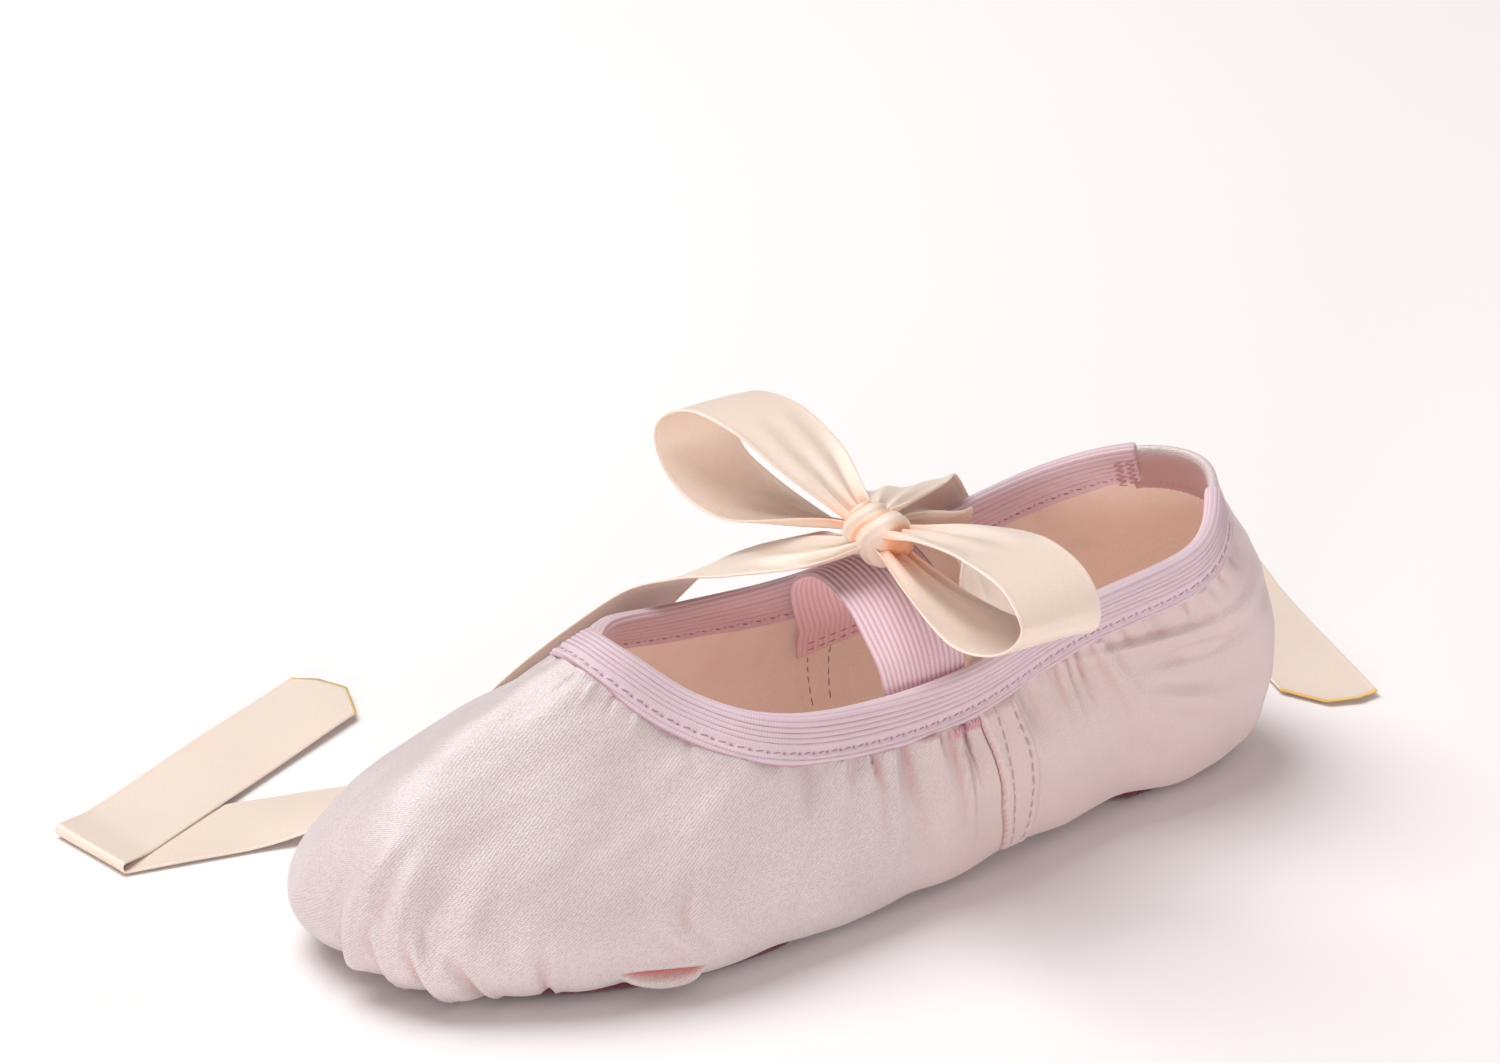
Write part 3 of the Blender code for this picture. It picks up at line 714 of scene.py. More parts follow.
def thread_lines(tree, direction, pitch, waver):
    """Parallel threads a pitch apart, in millimetres, in planes square to a direction.

    They fade out where the cloth faces that direction and would show them as broad rings."""
    turned = Vector((1, 0, 0)).rotation_difference(Vector(direction)).inverted().to_euler()
    place = add(tree, "ShaderNodeMapping", {
        "Vector": body_coordinates(tree), "Rotation": tuple(turned)}).outputs["Vector"]
    wave = add(tree, "ShaderNodeTexWave", {
        "Vector": place, "Scale": WAVE_PITCH / pitch, "Distortion": waver, "Detail": 1.0,
        "Detail Scale": 3.0}, bands_direction="X").outputs["Fac"]
    normal = add(tree, "ShaderNodeNewGeometry").outputs["Normal"]
    facing = add(tree, "ShaderNodeVectorMath", {0: normal, 1: direction},
                 operation="DOT_PRODUCT").outputs["Value"]
    facing = add(tree, "ShaderNodeMath", {0: facing}, operation="ABSOLUTE").outputs[0]
    faded = add(tree, "ShaderNodeMapRange", {
        "Value": facing, "From Min": 0.55, "From Max": 0.82}).outputs["Result"]
    return add(tree, "ShaderNodeMix", {"Factor": faded, "A": wave, "B": 0.5}).outputs["Result"]


def make_pink_satin():
    """Polyester satin: a close weave whose floats catch the light as a fine sparkle.

    Its threads are drawn 0.42 and 0.56 mm apart, coarser than real ones, so that they show."""
    made, tree, shader = new_material(
        "pink polyester satin", sheen_weight=0.3, sheen_roughness=0.4, sheen_tint="fff4f4",
        specular_ior_level=0.6, anisotropic=0.5)
    twill = thread_lines(tree, (-0.55, 0.45, 0.7), 0.56, 3.4)
    weft = thread_lines(tree, (0.62, 0.5, 0.6), 0.42, 2.6)
    weave = sum_of(tree, (twill, 0.3), (weft, 0.2), (mottle(tree, 0.56, 1.0), 0.5))
    patches = mottle(tree, 26.0, 3.0)
    handled = slub(tree, 7.0, 1.0, along=0.6, turn=12)
    base = shaded(tree, patches, 0.35, 0.7, "d6c9c8", "ddd0cf")
    base = shaded(tree, weave, 0.3, 0.6, "c4b1af", base)
    # Painted glow: a pinker tint that stands in for light coming through the cloth.
    base = tinted(tree, base, "painted_glow", "dcc3c0")
    # Painted shade: a darker rose in the creases, where shade falls.
    base = tinted(tree, base, "painted_shade", "c99c9a")
    # Painted shade: a dark red inside the loose tuck's open mouth.
    base = tinted(tree, base, "mouth", "b56a66")
    rough = sum_of(tree, (weave, 0.4), (patches, 0.35), (handled, 0.25))
    relief = sum_of(tree, (weave, 0.5), (handled, 0.5))
    give_surface(tree, shader, base, relief, 0.27, (rough, 0.3, 0.7, 0.28, 0.46), woven=True)
    return made


def make_lining_cloth():
    """Plain cotton lining seen from inside, with a faint painted glow (emission), stronger towards
    the toe, that stands in for the light that comes through.
    """
    made, tree, shader = new_material(
        "peach cotton lining", sheen_weight=0.15, specular_ior_level=0.35, emission_color="e8d0c2")
    # Painted glow: emission, stronger towards the toe, for the light that comes through the wall.
    along = add(tree, "ShaderNodeSeparateXYZ", {"Vector": body_coordinates(tree)}).outputs["X"]
    glow = add(tree, "ShaderNodeMapRange", {
        "Value": along, "From Min": 60, "From Max": -40, "To Min": 0.10, "To Max": 0.24,
    }).outputs["Result"]
    tree.links.new(glow, shader.inputs["Emission Strength"])
    threads = satin_weave(tree, 0.4, 0)
    patches = mottle(tree, 18.0, 3.0)
    base = shaded(tree, patches, 0.35, 0.7, "fbe6d9", "fdeee2")
    base = shaded(tree, threads, 0.35, 0.7, "f4dccd", base)
    # Painted shade: a darker peach in the lining's creases.
    base = tinted(tree, base, "painted_shade", "dfb8aa")
    give_surface(tree, shader, base, threads, 0.03, (patches, 0, 1, 0.5, 0.75))
    return made


def make_insole_cloth():
    """Brushed cotton over a thin sock: a soft plain weave, a little uneven in colour."""
    made, tree, shader = new_material(
        "beige brushed cotton", sheen_weight=0.2, specular_ior_level=0.2)
    threads = satin_weave(tree, 0.5, 45)
    base = shaded(tree, mottle(tree, 22.0, 3.0), 0.35, 0.7, "dfc8bf", "e9d6ce")
    base = shaded(tree, threads, 0.35, 0.7, "d0b5aa", base)
    give_surface(tree, shader, base, threads, 0.05, (threads, 0, 1, 0.8, 0.95))
    return made


INSIDE_MIDDLE = (16, 0, 30)


def turned_to_foot(tree):
    """1 where a face looks at the middle of the slipper's inside, and 0 where it looks out."""
    from_middle = add(tree, "ShaderNodeVectorMath", {0: body_coordinates(tree), 1: INSIDE_MIDDLE},
                      operation="SUBTRACT").outputs["Vector"]
    normal = add(tree, "ShaderNodeNewGeometry").outputs["Normal"]
    outwards = add(tree, "ShaderNodeVectorMath", {0: from_middle, 1: normal},
                   operation="DOT_PRODUCT").outputs["Value"]
    return add(tree, "ShaderNodeMapRange", {
        "Value": outwards, "From Min": 4, "From Max": -8}).outputs["Result"]


def make_elastic(name, crest, groove_shade, cross_rows, glow):
    """Knitted elastic: its ribs are modelled, and its fine rows of loops cross them; painted shade
    darkens its grooves and needle holes, and a painted glow lights faces turned to the foot.
    """
    made, tree, shader = new_material(
        name, sheen_weight=0.35, sheen_roughness=0.5, sheen_tint="fff0f6",
        specular_ior_level=0.3, emission_color="eeb0b0")
    # Painted glow: emission on faces turned to the foot.
    painted_inner_glow = sum_of(tree, (turned_to_foot(tree), glow))
    tree.links.new(painted_inner_glow, shader.inputs["Emission Strength"])
    rows = add(tree, "ShaderNodeTexWave", {
        "Vector": cloth_coordinates(tree, across=0.25), "Scale": WAVE_PITCH / LOOP_PITCH,
        "Distortion": 2.5, "Detail": 1.0}, bands_direction="X").outputs["Fac"]
    fuzz = slub(tree, 0.35, 2.0)
    rib = add(tree, "ShaderNodeAttribute", attribute_name="rib").outputs["Fac"]
    # Painted shade: the darker colour in the grooves between the modelled ribs.
    base = shaded(tree, rib, 0.0, 0.6, groove_shade, crest)
    patches = mottle(tree, 14.0, 2.0)
    wear = sum_of(tree, (rows, cross_rows), (fuzz, 0.6 - cross_rows), (patches, 0.4))
    shade = add(tree, "ShaderNodeMapRange", {
        "Value": wear, "From Min": 0.3, "From Max": 0.7, "To Min": 0.90, "To Max": 1.03,
    }).outputs["Result"]
    base = add(tree, "ShaderNodeVectorMath", {0: base, "Scale": shade},
               operation="SCALE").outputs[0]
    # Painted shade: dark rose in the needle holes.
    base = tinted(tree, base, "pinhole", "9c5a68")
    relief = sum_of(tree, (rows, 0.45), (fuzz, 0.55))
    give_surface(tree, shader, base, relief, 0.05, (fuzz, 0, 1, 0.55, 0.8))
    return made


def make_thread(name, colour):
    """Polyester sewing thread with the twist of its plies."""
    made, tree, shader = new_material(name, roughness=0.5, sheen_weight=0.3)
    twist = mottle(tree, 0.3, 1.0)
    base = shaded(tree, twist, 0, 1, [0.8 * c for c in linear(colour)], colour)
    give_surface(tree, shader, base, twist, 0.04)
    return made


def make_suede():
    """Split leather with a raised nap, brushed this way and that, darker where it is flat."""
    made, tree, shader = new_material(
        "mauve split suede", sheen_weight=0.45, sheen_roughness=0.6, sheen_tint="c79aa2",
        specular_ior_level=0.15)
    nap = mottle(tree, 0.5, 4.0, 0.7)
    brushed = mottle(tree, 9.0, 3.0)
    base = shaded(tree, nap, 0.3, 0.7, "5a3038", "80505a")
    base = shaded(tree, brushed, 0.45, 0.7, base, "6b3c45")
    give_surface(tree, shader, base, nap, 0.35, (nap, 0, 1, 0.85, 1.0))
    return made


def make_ribbon_satin():
    """Woven satin ribbon: a fine slanting weave, a firm selvedge, and a warm orange painted shade
    in its folds.
    """
    made, tree, shader = new_material(
        "peach double satin ribbon", sheen_weight=0.3, sheen_roughness=0.3,
        sheen_tint="fff4e6", specular_ior_level=0.6, anisotropic=0.45, subsurface_weight=0.45,
        subsurface_scale=0.5 * MM, subsurface_radius=(1.0, 0.65, 0.45))
    weave = satin_weave(tree, 0.30, 35)
    twill = add(tree, "ShaderNodeTexWave", {
        "Vector": cloth_coordinates(tree, turn=35), "Scale": WAVE_PITCH / TWILL_PITCH,
        "Distortion": 1.2, "Detail": 1.0}, bands_direction="X").outputs["Fac"]
    height = sum_of(tree, (weave, 0.6), (twill, 0.4))
    base = shaded(tree, height, 0.3, 0.7, "e6d2c2", "f1e2d5")
    # Painted shade: a warm orange in the ribbon's folds.
    base = tinted(tree, base, "painted_shade", "f4a06a")
    base = tinted(tree, base, "cut_edge", "f0c273")
    give_surface(tree, shader, base, height, 0.05, (height, 0.2, 0.8, 0.28, 0.46), woven=True)
    return made


SATIN = make_pink_satin()
LINING = make_lining_cloth()
BINDING_ELASTIC = make_elastic("lilac pink binding elastic", "dac3cb", "b38a9b", 0.25, 0.14)
STRAP_ELASTIC = make_elastic("pink ribbed strap elastic", "e3c6cd", "cda6b2", 0.08, 0.22)
THREAD = make_thread("mauve pink polyester thread", "b4909f")
INSOLE_CLOTH = make_insole_cloth()
PINK_THREAD = make_thread("bright pink polyester thread", "e0a3b1")
DARK_THREAD = make_thread("rose polyester thread", "c7a2a7")
SUEDE_LEATHER = make_suede()
RIBBON_SATIN = make_ribbon_satin()


# ---------------------------------------------------------------- upper and lining

GATHERS_TO = 45.0  # how far round the toe the close gathers reach
SEAM_FROM, SEAM_TO = 157.0, 180.0
WALL_HEIGHTS = np.concatenate([
    np.linspace(-1, -0.2, 5), [-0.1], np.linspace(0, 1, 43)[:-1], np.linspace(1, 2, 82),
])


def fine_rows(coarse, fine):
    """Distances round the shoe for the grid's rows, closer together at the toe and the seams."""
    half = np.concatenate([
        np.arange(0, GATHERS_TO, (coarse + fine) / 2),
        np.arange(GATHERS_TO, SEAM_FROM, 1.15 * coarse),
        np.arange(SEAM_FROM, SEAM_TO, fine),
        np.linspace(SEAM_TO, HALF_ROUND, int((HALF_ROUND - SEAM_TO) / coarse)),
    ])
    return np.concatenate([half, 2 * HALF_ROUND - half[-2::-1]])


def hollowness(relief):
    """0 on flat cloth and on ridges, up to 1 in the deepest creases."""
    beside = np.roll(relief, 2, axis=0) + np.roll(relief, -2, axis=0)
    above = np.roll(relief, 2, axis=1) + np.roll(relief, -2, axis=1)
    return np.clip(0.4 * (beside - 2 * relief) + 0.5 * (above - 2 * relief) - 0.04, 0, 1)


SATIN_ROWS = fine_rows(0.95, 0.36)
SATIN_WALL = wall_on(SATIN_ROWS, WALL_HEIGHTS)
SATIN_RELIEF = satin_relief(SATIN_WALL)
SATIN_POINTS = SATIN_WALL.points + SATIN_WALL.normals * SATIN_RELIEF[..., None]
SATIN_POINTS[..., 2] = np.maximum(SATIN_POINTS[..., 2], BASE - 1.2)


def on_satin(along, level, side, height=0.0):
    """Points at a height above the satin, by distances along the side and up the wall, and the
    satin's outward directions there."""
    points, normals = [], []
    rows = np.flatnonzero(SATIN_WALL.side == side)
    for one, wanted in zip(along, level):
        row = rows[np.argmin(np.abs(SATIN_WALL.along[rows, 0] - one))]
        heights = SATIN_WALL.level[row]
        points.append(along_line(wanted, heights, SATIN_POINTS[row]))
        normals.append(along_line(wanted, heights, SATIN_WALL.normals[row]))
    normals = unit(np.array(normals))
    return np.array(points) + normals * height, normals


def make_satin_upper():
    """The satin, with values for painted shade in its creases and in the loose tuck's mouth, and
    for a painted glow towards the heel.
    """
    along, level = SATIN_WALL.along, SATIN_WALL.level
    uv = np.stack(np.broadcast_arrays(SATIN_ROWS[:, None], level), axis=2)
    # Painted shade inside the loose tuck's mouth.
    mouth = (SATIN_WALL.side[:, None] < 0) * loose_tuck(along, level)[1]
    # Painted glow, growing towards the heel, standing in for light through the quarters.
    painted_glow = 0.75 * smooth((along - 128) / 30)
    # Painted shade in the creases, heavier towards the heel.
    shade_to_heel = 0.7 + 0.5 * smooth((along - 95) / 30)
    painted_shade = np.clip(hollowness(SATIN_RELIEF) * shade_to_heel, 0, 1)
    upper = grid_object("satin_upper", SATIN_POINTS, closed=True, uv=uv,
                        values={"painted_shade": painted_shade, "mouth": mouth, "painted_glow": painted_glow})
    finish_piece(upper, SATIN, "satin", "upper")


def lining_inward(wall):
    """How far the lining lies in from the outside of the last."""
    seam = 0.5 * ridge((wall.along - seam_line("row_b", wall.level) + 1.5) / 3.2)
    soft = 0.3 * satin_relief(wall) * smooth((wall.level - 2) / 8)
    swell = drift(wall.along * wall.side[:, None], wall.level, seed=9) * 0.6
    inward = WALL - 0.15 + seam + swell * smooth((wall.depth - 12) / 10)
    return np.maximum(inward, 0.7) - soft


def make_lining():
    """The cotton on the inside of the wall, from the floor edge to just under the rim."""
    distance = fine_rows(1.8, 0.9)
    wall = wall_on(distance, np.linspace(0.02, 1.985, 60))
    inward = lining_inward(wall)
    points = wall.points - wall.normals * inward[..., None]
    uv = np.stack(np.broadcast_arrays(distance[:, None], wall.level), axis=2)
    # Values for painted shade in the lining's creases.
    lining = grid_object("cotton_lining", points, closed=True, uv=uv, flip=True,
                         values={"painted_shade": hollowness(-inward) * 0.6})
    finish_piece(lining, LINING, "lining", "upper")


# ---------------------------------------------------------------- collar binding

RIB_PITCH = 1.1
BINDING_ROWS = 1080
OUTER_COLUMNS, FOLD_COLUMNS, INNER_COLUMNS = 45, 19, 28
STITCH_DEPTH = 6.4
INNER_STITCH_DEPTH = 6.0
STITCH_PITCH = 3.2
STITCH_SHARE = 0.44
PINHOLE = 0.28
PUFF = 1.2  # how far the elastic stands out from the satin
BESIDE = 0.01  # in section numbers, how far from a place its neighbours are taken


def below_rim(section, depth):
    """Points of the plain skin at each depth below the rim, and the normals there.

    Depth is one list for all rows, or a table with a list for each row."""
    fine = np.linspace(1, 2, 61)
    before, wall, after = (skin(section + step, fine)[:, ::-1] for step in (-BESIDE, 0, BESIDE))
    normals = np.cross(after - before, np.gradient(wall, axis=1))
    at_end = (section < 1.1 * BESIDE) | (section > LAST - 1.1 * BESIDE)
    normals[at_end, :, 1] = 0
    normals = unit(normals)
    arc = arc_length(wall)
    depth = np.broadcast_to(depth, (len(wall), np.shape(depth)[-1]))
    points = np.array([along_line(*row) for row in zip(depth, arc, wall)])
    out = np.array([along_line(*row) for row in zip(depth, arc, normals)])
    return points, unit(out)


def over_rim(rim, out, up, radius, angle):
    """Points of cloth folded over the rim, round the middle of the wall's thickness."""
    return (
        rim[:, None]
        + out[:, None] * (radius * np.cos(angle) - WALL / 2)[..., None]
        + up[:, None] * (radius * np.sin(angle))[..., None]
    )


def rib_height(depth, stitch_depth, edge):
    """0 in the grooves between the elastic's ribs and 1 on their crests."""
    across = np.abs((depth - 0.1) / RIB_PITCH % 1 - 0.5) * 2
    wave = 1 - across**2
    flat = smooth(1.6 - np.abs(depth - stitch_depth) / 0.8)
    wave = wave * (1 - flat) + 0.8 * flat
    return wave * smooth((edge - depth) / 0.5)


def rim_sections(distance):
    """Sections and sides at distances along the rim from the throat, negative on the near side."""
    return np.interp(np.abs(distance), RIM_ARC, FINE), np.where(distance <= 0, -1.0, 1.0)


RIM_END = float(np.interp(BINDING_END, FINE, RIM_ARC))


def end_taper(distance):
    """1 along the elastic, and falling to 0 where it rounds off at its two ends."""
    from_end = np.clip((RIM_END - np.abs(distance)) / 0.9, 0, 1)
    return np.sqrt(1 - (1 - from_end) ** 2)[:, None]


def binding_face(distance, depth, edge, stitch_depth):
    """Thickness, rib heights and pinholes of the elastic on one face, by depth below the rim."""
    from_hole = distance[:, None] / STITCH_PITCH % 1 * STITCH_PITCH
    from_hole = np.minimum(from_hole, STITCH_PITCH - from_hole)
    pinholes = np.exp(-(from_hole**2 + (depth - stitch_depth) ** 2) / PINHOLE**2)
    pulled = 0.1 * np.cos(distance * 2 * math.pi / STITCH_PITCH)[:, None]
    swell = 0.05 * np.sin(distance / 5.3 + 2)[:, None]
    ribs = rib_height(depth, stitch_depth, edge)
    channel = ridge((depth - stitch_depth) / 1.2)
    rounded = np.sqrt(np.clip((edge - depth) / 0.9, 0, 1))
    body = 0.25 + (PUFF - 0.5) * rounded + 0.3 * ribs - 0.34 * channel
    thickness = end_taper(distance) * (body + (swell - pulled) * channel - 0.35 * pinholes)
    return thickness[..., None], ribs, pinholes


def binding_section(distance):
    """The folded elastic's points, rib heights, pinholes and cloth places along the rim."""
    section, side = rim_sections(distance)
    wobble = 0.18 * np.sin(distance / 3.9) + 0.14 * np.sin(distance / 2.3 + 1)
    edge_out = (BINDING_OUTSIDE + wobble - 0.9 * ridge(distance / 22))[:, None]
    edge_in = (BINDING_INSIDE + 0.8 * wobble)[:, None]
    depth_out = edge_out * (1 - np.linspace(0, 1, OUTER_COLUMNS))
    depth_in = edge_in * np.linspace(0, 1, INNER_COLUMNS)
    outer, ribs_out, pinholes_out = binding_face(distance, depth_out, edge_out, STITCH_DEPTH)
    inner, ribs_in, pinholes_in = binding_face(distance, depth_in, edge_in, INNER_STITCH_DEPTH)
    outside, normals = below_rim(section, depth_out)
    inside, inner_normals = below_rim(section, depth_in)

    angle = np.linspace(0, math.pi, FOLD_COLUMNS)[1:-1]
    turn = angle * (WALL / 2 + PUFF - 0.2)
    ribs_fold = 1 - (np.abs(turn / RIB_PITCH % 1 - 0.5) * 2) ** 2
    radius = WALL / 2 + end_taper(distance) * (PUFF - 0.2 + 0.3 * (ribs_fold - 0.5))
    up = unit(outside[:, -1] - outside[:, -4])
    fold = over_rim(outside[:, -1], normals[:, -1], up, radius, angle)

    every = np.ones((len(distance), 1))
    points = np.concatenate([
        outside + normals * outer, fold, inside - inner_normals * (WALL + inner)], axis=1)
    ribs = np.concatenate([ribs_out, every * ribs_fold, ribs_in], axis=1)
    pinholes = np.concatenate([pinholes_out, np.zeros(fold.shape[:2]), pinholes_in], axis=1)
    across = np.concatenate([
        -depth_out, every * turn, depth_in + math.pi * (WALL / 2 + PUFF)], axis=1)
    uv = np.stack(np.broadcast_arrays(distance[:, None], across), axis=2)
    return placed(points, side), ribs, pinholes, uv


def make_binding():
    """The elastic folded over the whole rim but for a gap at the heel."""
    distance = np.linspace(-RIM_END, RIM_END, BINDING_ROWS)
    points, ribs, pinholes, uv = binding_section(distance)
    binding = grid_object("elastic_binding", points, uv=uv, flip=True,
                          values={"rib": ribs, "pinhole": pinholes})
    finish_piece(binding, BINDING_ELASTIC, "elastic", "collar_binding")


# ---------------------------------------------------------------- stitches

LONG_LINE, SHORT_LINE = 60, 40  # points on the lines that stitches follow
TACK_PITCH = 1.5
BAR_TACK_PITCH = 0.74
TACK_WIDTH = 2.3


def turned_to(x, y, z):
    """The turn that brings the axes to three given directions."""
    return Matrix([(x[i], y[i], z[i], 0) for i in range(3)] + [(0, 0, 0, 1)])


def stitch_mesh(name, stitches, radius, made_of, slot):
    """Short threads, each from one point to another on the cloth and bulging along its normal.

    Stitches is a list of (start, end, normal)."""
    bm = bmesh.new()
    for start, end, normal in stitches:
        middle = (start + end) / 2
        run = end - start
        length = np.linalg.norm(run)
        along = run / length
        across = np.cross(normal, along)
        normal = np.cross(along, across)
        place = Matrix.Translation(Vector(middle * MM)) @ turned_to(along, across, normal)
        size = Matrix.Diagonal((length / 2 * MM, radius * MM, 0.8 * radius * MM, 1))
        bmesh.ops.create_icosphere(bm, subdivisions=2, radius=1, matrix=place @ size)
    mesh = written(bm, bpy.data.meshes.new(name))
    mesh.shade_smooth()
    finish_piece(linked(name, mesh), made_of, slot)


def running_stitches(points, normals, pitch, share=0.72):
    """Stitches of one pitch along a line of points."""
    arc = arc_length(points)
    stitches = []
    for start in np.arange((1 - share) / 2 * pitch, arc[-1] - pitch, pitch):
        ends = [start, start + pitch * share]
        place = along_line(ends, arc, points)
        stitches.append((*place, unit(along_line(start + pitch / 2, arc, normals))))
    return stitches


def zigzag_stitches(points, normals, across, pitch, width):
    """Zigzag stitches about a line, with across the direction of their width at each point."""
    arc = arc_length(points)
    corners = np.arange(0, arc[-1], pitch / 2)
    at, out, wide = (along_line(corners, arc, rows) for rows in (points, normals, across))
    side = np.where(np.arange(len(corners)) % 2 == 0, -0.5, 0.5)
    at = at + wide * (side * width)[:, None]
    return list(zip(at, at[1:], out))


def binding_stitches(inside):
    """A row of slanting stitches, on the outside of the binding or on the inside."""
    depth = INNER_STITCH_DEPTH if inside else STITCH_DEPTH
    height = PUFF - 0.24
    steps = int((RIM_END - 1.5) / STITCH_PITCH)
    distance = np.arange(-steps, steps) * STITCH_PITCH
    ends = []
    for end in (-1, 1):
        section, side = rim_sections(distance + (1 + end * STITCH_SHARE) / 2 * STITCH_PITCH)
        points, normals = below_rim(section, [depth + 0.16 * end])
        points = points + normals * (-WALL - height if inside else height)
        ends.append((placed(points, side)[:, 0], placed(normals, side)[:, 0]))
    starts, stops = ends
    return list(zip(starts[0], stops[0], -starts[1] if inside else starts[1]))


def seam_stitches(side):
    """Two rows of topstitching down the outside of one side seam."""
    stitches = []
    for name in ("row_a", "row_b"):
        level = np.linspace(37.5 if side < 0 else 36, 2.5, LONG_LINE)
        line, out = on_satin(seam_line(name, level), level, side, 0.1)
        stitches += running_stitches(line, out, SEAM_PITCH, SEAM_SHARE)
    return stitches


def inside_seam_stitches(side):
    """The same two rows where they come through the lining."""
    stitches = []
    for name in ("row_a", "row_b"):
        where = seam_line(name, np.array([5.0, 34.0]))
        distance = where if side < 0 else 2 * HALF_ROUND - where[::-1]
        around = np.linspace(distance[0] - 8, distance[1] + 8, 60)
        wall = wall_on(around, np.linspace(0.1, 1.9, 60))
        inward = lining_inward(wall) + 0.05
        line, out = [], []
        for level in np.linspace(34, 5, LONG_LINE):
            wanted = seam_line(name, level)
            column = np.argmin(np.abs(wall.level - level), axis=1)
            rows = np.arange(len(column))
            row = np.argmin(np.abs(wall.along[rows, column] - wanted))
            place = (row, column[row])
            line.append(wall.points[place] - wall.normals[place] * inward[place])
            out.append(-wall.normals[place])
        stitches += running_stitches(np.array(line), np.array(out), SEAM_PITCH, SEAM_SHARE)
    return stitches


def bar_tack(side):
    """Close zigzag stitches that catch the gathered satin under the binding beside the seam."""
    along = np.linspace(151, 161.5, SHORT_LINE)
    line, out = on_satin(along, np.full(SHORT_LINE, 34.5), side, 0.3)
    across = np.cross(out, np.gradient(line, axis=0))
    return zigzag_stitches(line, out, unit(across), BAR_TACK_PITCH, TACK_WIDTH)


def inside_at(distance, depth, height):
    """Points and inward directions inside the collar, a height above the lining."""
    section, side = rim_sections(distance)
    points, normals = below_rim(section, depth[:, None])
    points = placed(points - normals * (WALL + height), side)[:, 0]
    return points, placed(-normals, side)[:, 0]


def heel_tacks():
    """Zigzag stitches inside the heel: along the facing's hem and down the binding's ends."""
    facing = 2 * (RIM_ARC[-1] - RIM_END)
    stitches = []
    across_heel = np.linspace(0.08, 0.92, LONG_LINE) * facing
    on_near_side = across_heel < facing / 2
    distance = np.where(on_near_side, -RIM_END, RIM_END + facing) - across_heel
    depth = np.full(LONG_LINE, FACING_HEIGHT - FACING_HEM)
    line, out = inside_at(distance, depth, 0.75)
    down = unit(inside_at(distance, depth + 1, 0.75)[0] - line)
    stitches += zigzag_stitches(line, out, down, TACK_PITCH, TACK_WIDTH)
    for side in (-1, 1):
        for back in (1.7, 4.3):
            depth = np.linspace(1.0, 8.6, SHORT_LINE)
            distance = np.full(SHORT_LINE, side * (RIM_END - back))
            line, out = inside_at(distance, depth, PUFF + 0.12)
            ahead = unit(inside_at(distance - side, depth, PUFF + 0.12)[0] - line)
            stitches += zigzag_stitches(line, out, ahead, TACK_PITCH, 2.1)
    return stitches


# ---------------------------------------------------------------- the satin folded in at the heel

def facing_hem(distance, depth):
    """How far the facing lies in from the wall, with its turned-up hem and slow swells."""
    turned_up = 0.5 + 0.35 * ridge((depth - FACING_HEIGHT + FACING_HEM) / 1.6)
    hem = turned_up * smooth((FACING_HEIGHT - depth + 0.12) / 0.7)
    swells = 0.7 * drift(distance[:, None], depth[None, :], seed=21)
    swells = swells * smooth((FACING_HEIGHT - 2 - depth) / 4) * smooth(depth / 3)
    return np.maximum(hem + swells, np.minimum(hem, 0.2))


def make_heel_facing():
    """The satin carried over the rim between the binding's ends and turned in down the heel."""
    start = RIM_END - 2.0
    heel = RIM_ARC[-1]
    distance = np.linspace(start, 2 * heel - start, 170)
    to_heel = heel - np.abs(distance - heel)
    section = np.interp(to_heel, RIM_ARC, FINE)
    side = np.where(distance > heel, 1.0, -1.0)
    outer_depth = np.linspace(4.5, 0, 12)
    inner_depth = np.linspace(0, FACING_HEIGHT, 40)
    outside, normals = below_rim(section, outer_depth)
    inside, inner_normals = below_rim(section, inner_depth)
    shown = (0.25 + 0.75 * smooth((to_heel - start - 0.8) / 2.4))[:, None]
    half = WALL / 2 + 0.35 * shown
    sunk = 0.35 * shown - 0.6 * smooth((outer_depth - 1.5) / 3)
    hem = shown * facing_hem(distance, inner_depth)
    up = unit(outside[:, -1] - outside[:, -3])
    angle = np.linspace(0, math.pi, 14)[1:-1]
    points = np.concatenate([
        outside + normals * sunk[..., None],
        over_rim(outside[:, -1], normals[:, -1], up, half, angle),
        inside - inner_normals * (WALL + hem)[..., None],
    ], axis=1)
    place = np.concatenate([-outer_depth, 1.05 * angle, inner_depth + 3.3])
    uv = np.stack(np.broadcast_arrays(distance[:, None], place[None, :]), axis=2)
    points = placed(points, side)
    # Painted light on the turned-in satin: painted shade and a pinker painted glow.
    turned_in = np.broadcast_to(smooth((place - 2) / 4), points.shape[:2])
    facing = grid_object("satin_heel_facing", points, uv=uv,
                         values={"painted_shade": 0.8 * turned_in, "painted_glow": turned_in})
    finish_piece(facing, SATIN, "satin", "heel_facing")


# ---------------------------------------------------------------- bands of elastic and ribbon

# A band's route: a point on its middle line, the direction that its face looks in, and the share
# of its width that it spreads over
Stop = namedtuple("Stop", "x y z  face_x face_y face_z  spread", defaults=(1,))

